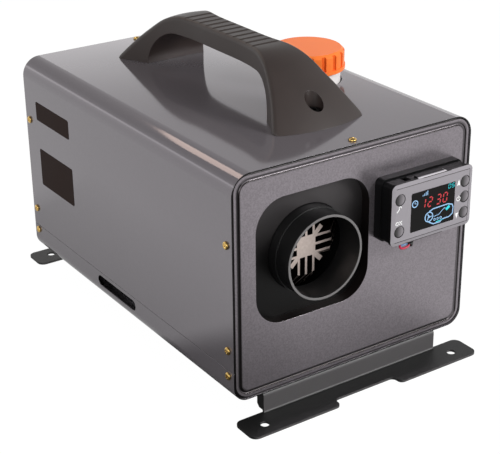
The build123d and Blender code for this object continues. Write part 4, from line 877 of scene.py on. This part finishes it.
def bezel_trim():
    """Dark lines of painted shade where the bezel's bevel starts and along its edges, and a pale clip strip on
    top.
    """
    lines = [stroke(-40.6, 24.4, 40.7, 24.4, 0.5), stroke(-40.6, -24.4, 40.7, -24.4, 0.5),
             stroke(40.8, -24.1, 40.8, 24.1, 0.4)]
    flat_shapes("bevel_lines", lines, shade_line_look, 0.0, 0.03 * MM)
    lines = [stroke(-11.0, 27.75, 20.0, 27.75, 0.5), stroke(-28.0, -27.75, 13.0, -27.75, 0.5)]
    flat_shapes("edge_lines", lines, shade_line_look, -0.9 * MM, 0.15 * MM)
    place = control + np.array([0, 4.2, 26.9]) * MM
    strip = plate(rounded_outline(31 * MM, 6 * MM, 0.5 * MM), place, right_hand, (0, 1, 0),
                  1.45 * MM, 0.3 * MM)
    mesh_piece("top_strip", *strip, strip_grey, smooth=False)


display()
printed_signs()
bezel_trim()

# ------------------------------------------------------------------ wires under the controller
wire_radius = 1.0 * MM
sleeve_radius = 2.3 * MM
# Millimetres. Both wires end inside the sleeve, behind the front panel.
wire_end = [(51.0, -197.2, 126.6), (54.0, -194.0, 129.0), (56.0, -189.0, 130.1), (56.0, -180.0, 130.1)]
sleeve_route = [(49.4, -198.4, 125.6), (52.2, -196.6, 127.2), (55.4, -192.4, 129.6), (56.0, -188.0, 130.1),
                (56.0, -182.5, 130.1)]


def smooth_route(points, count=48):
    """Points, about count of them, along a smooth curve that is pulled to each given point in turn."""
    curve = bpy.data.curves.new("route", "CURVE")
    curve.dimensions = "3D"
    spline = curve.splines.new("NURBS")
    spline.points.add(len(points) - 1)
    for point, place in zip(spline.points, points):
        point.co = (*place, 1)
    spline.order_u = 3
    spline.use_endpoint_u = True
    spline.resolution_u = count // len(points) + 2
    holder = bpy.data.objects.new("route", curve)
    bpy.context.scene.collection.objects.link(holder)
    mesh = bpy.data.meshes.new_from_object(holder.evaluated_get(bpy.context.evaluated_depsgraph_get()))
    route = np.zeros(len(mesh.vertices) * 3)
    mesh.vertices.foreach_get("co", route)
    bpy.data.objects.remove(holder)
    return route.reshape(-1, 3)


def control_wires():
    """A red and a blue wire that droop from the controller's underside into a bent black sleeve."""
    for name, y, low, material in (("wire_one", -198.2, 123.7, materials["wire_red"]),
                                   ("wire_two", -195.8, 125.6, wire_blue)):
        droop = [(38.0, y, 137.0), (38.0, y, low + 4), (39.0, y, low + 1.0), (43.5, y, low),
                 (48.0, y, low + 0.8)]
        route = smooth_route(np.array(droop + wire_end) * MM)
        piece = mesh_piece(name, *tube_along(route, wire_radius), material)
        if name == "wire_one":
            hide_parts("controller_wires")
    route = smooth_route(np.array(sleeve_route) * MM)
    sleeve = mesh_piece("wire_sleeve", *tube_along(route, sleeve_radius, 20), materials["cable_black"])


control_wires()

bpy.context.scene.view_settings.view_transform = "Standard"
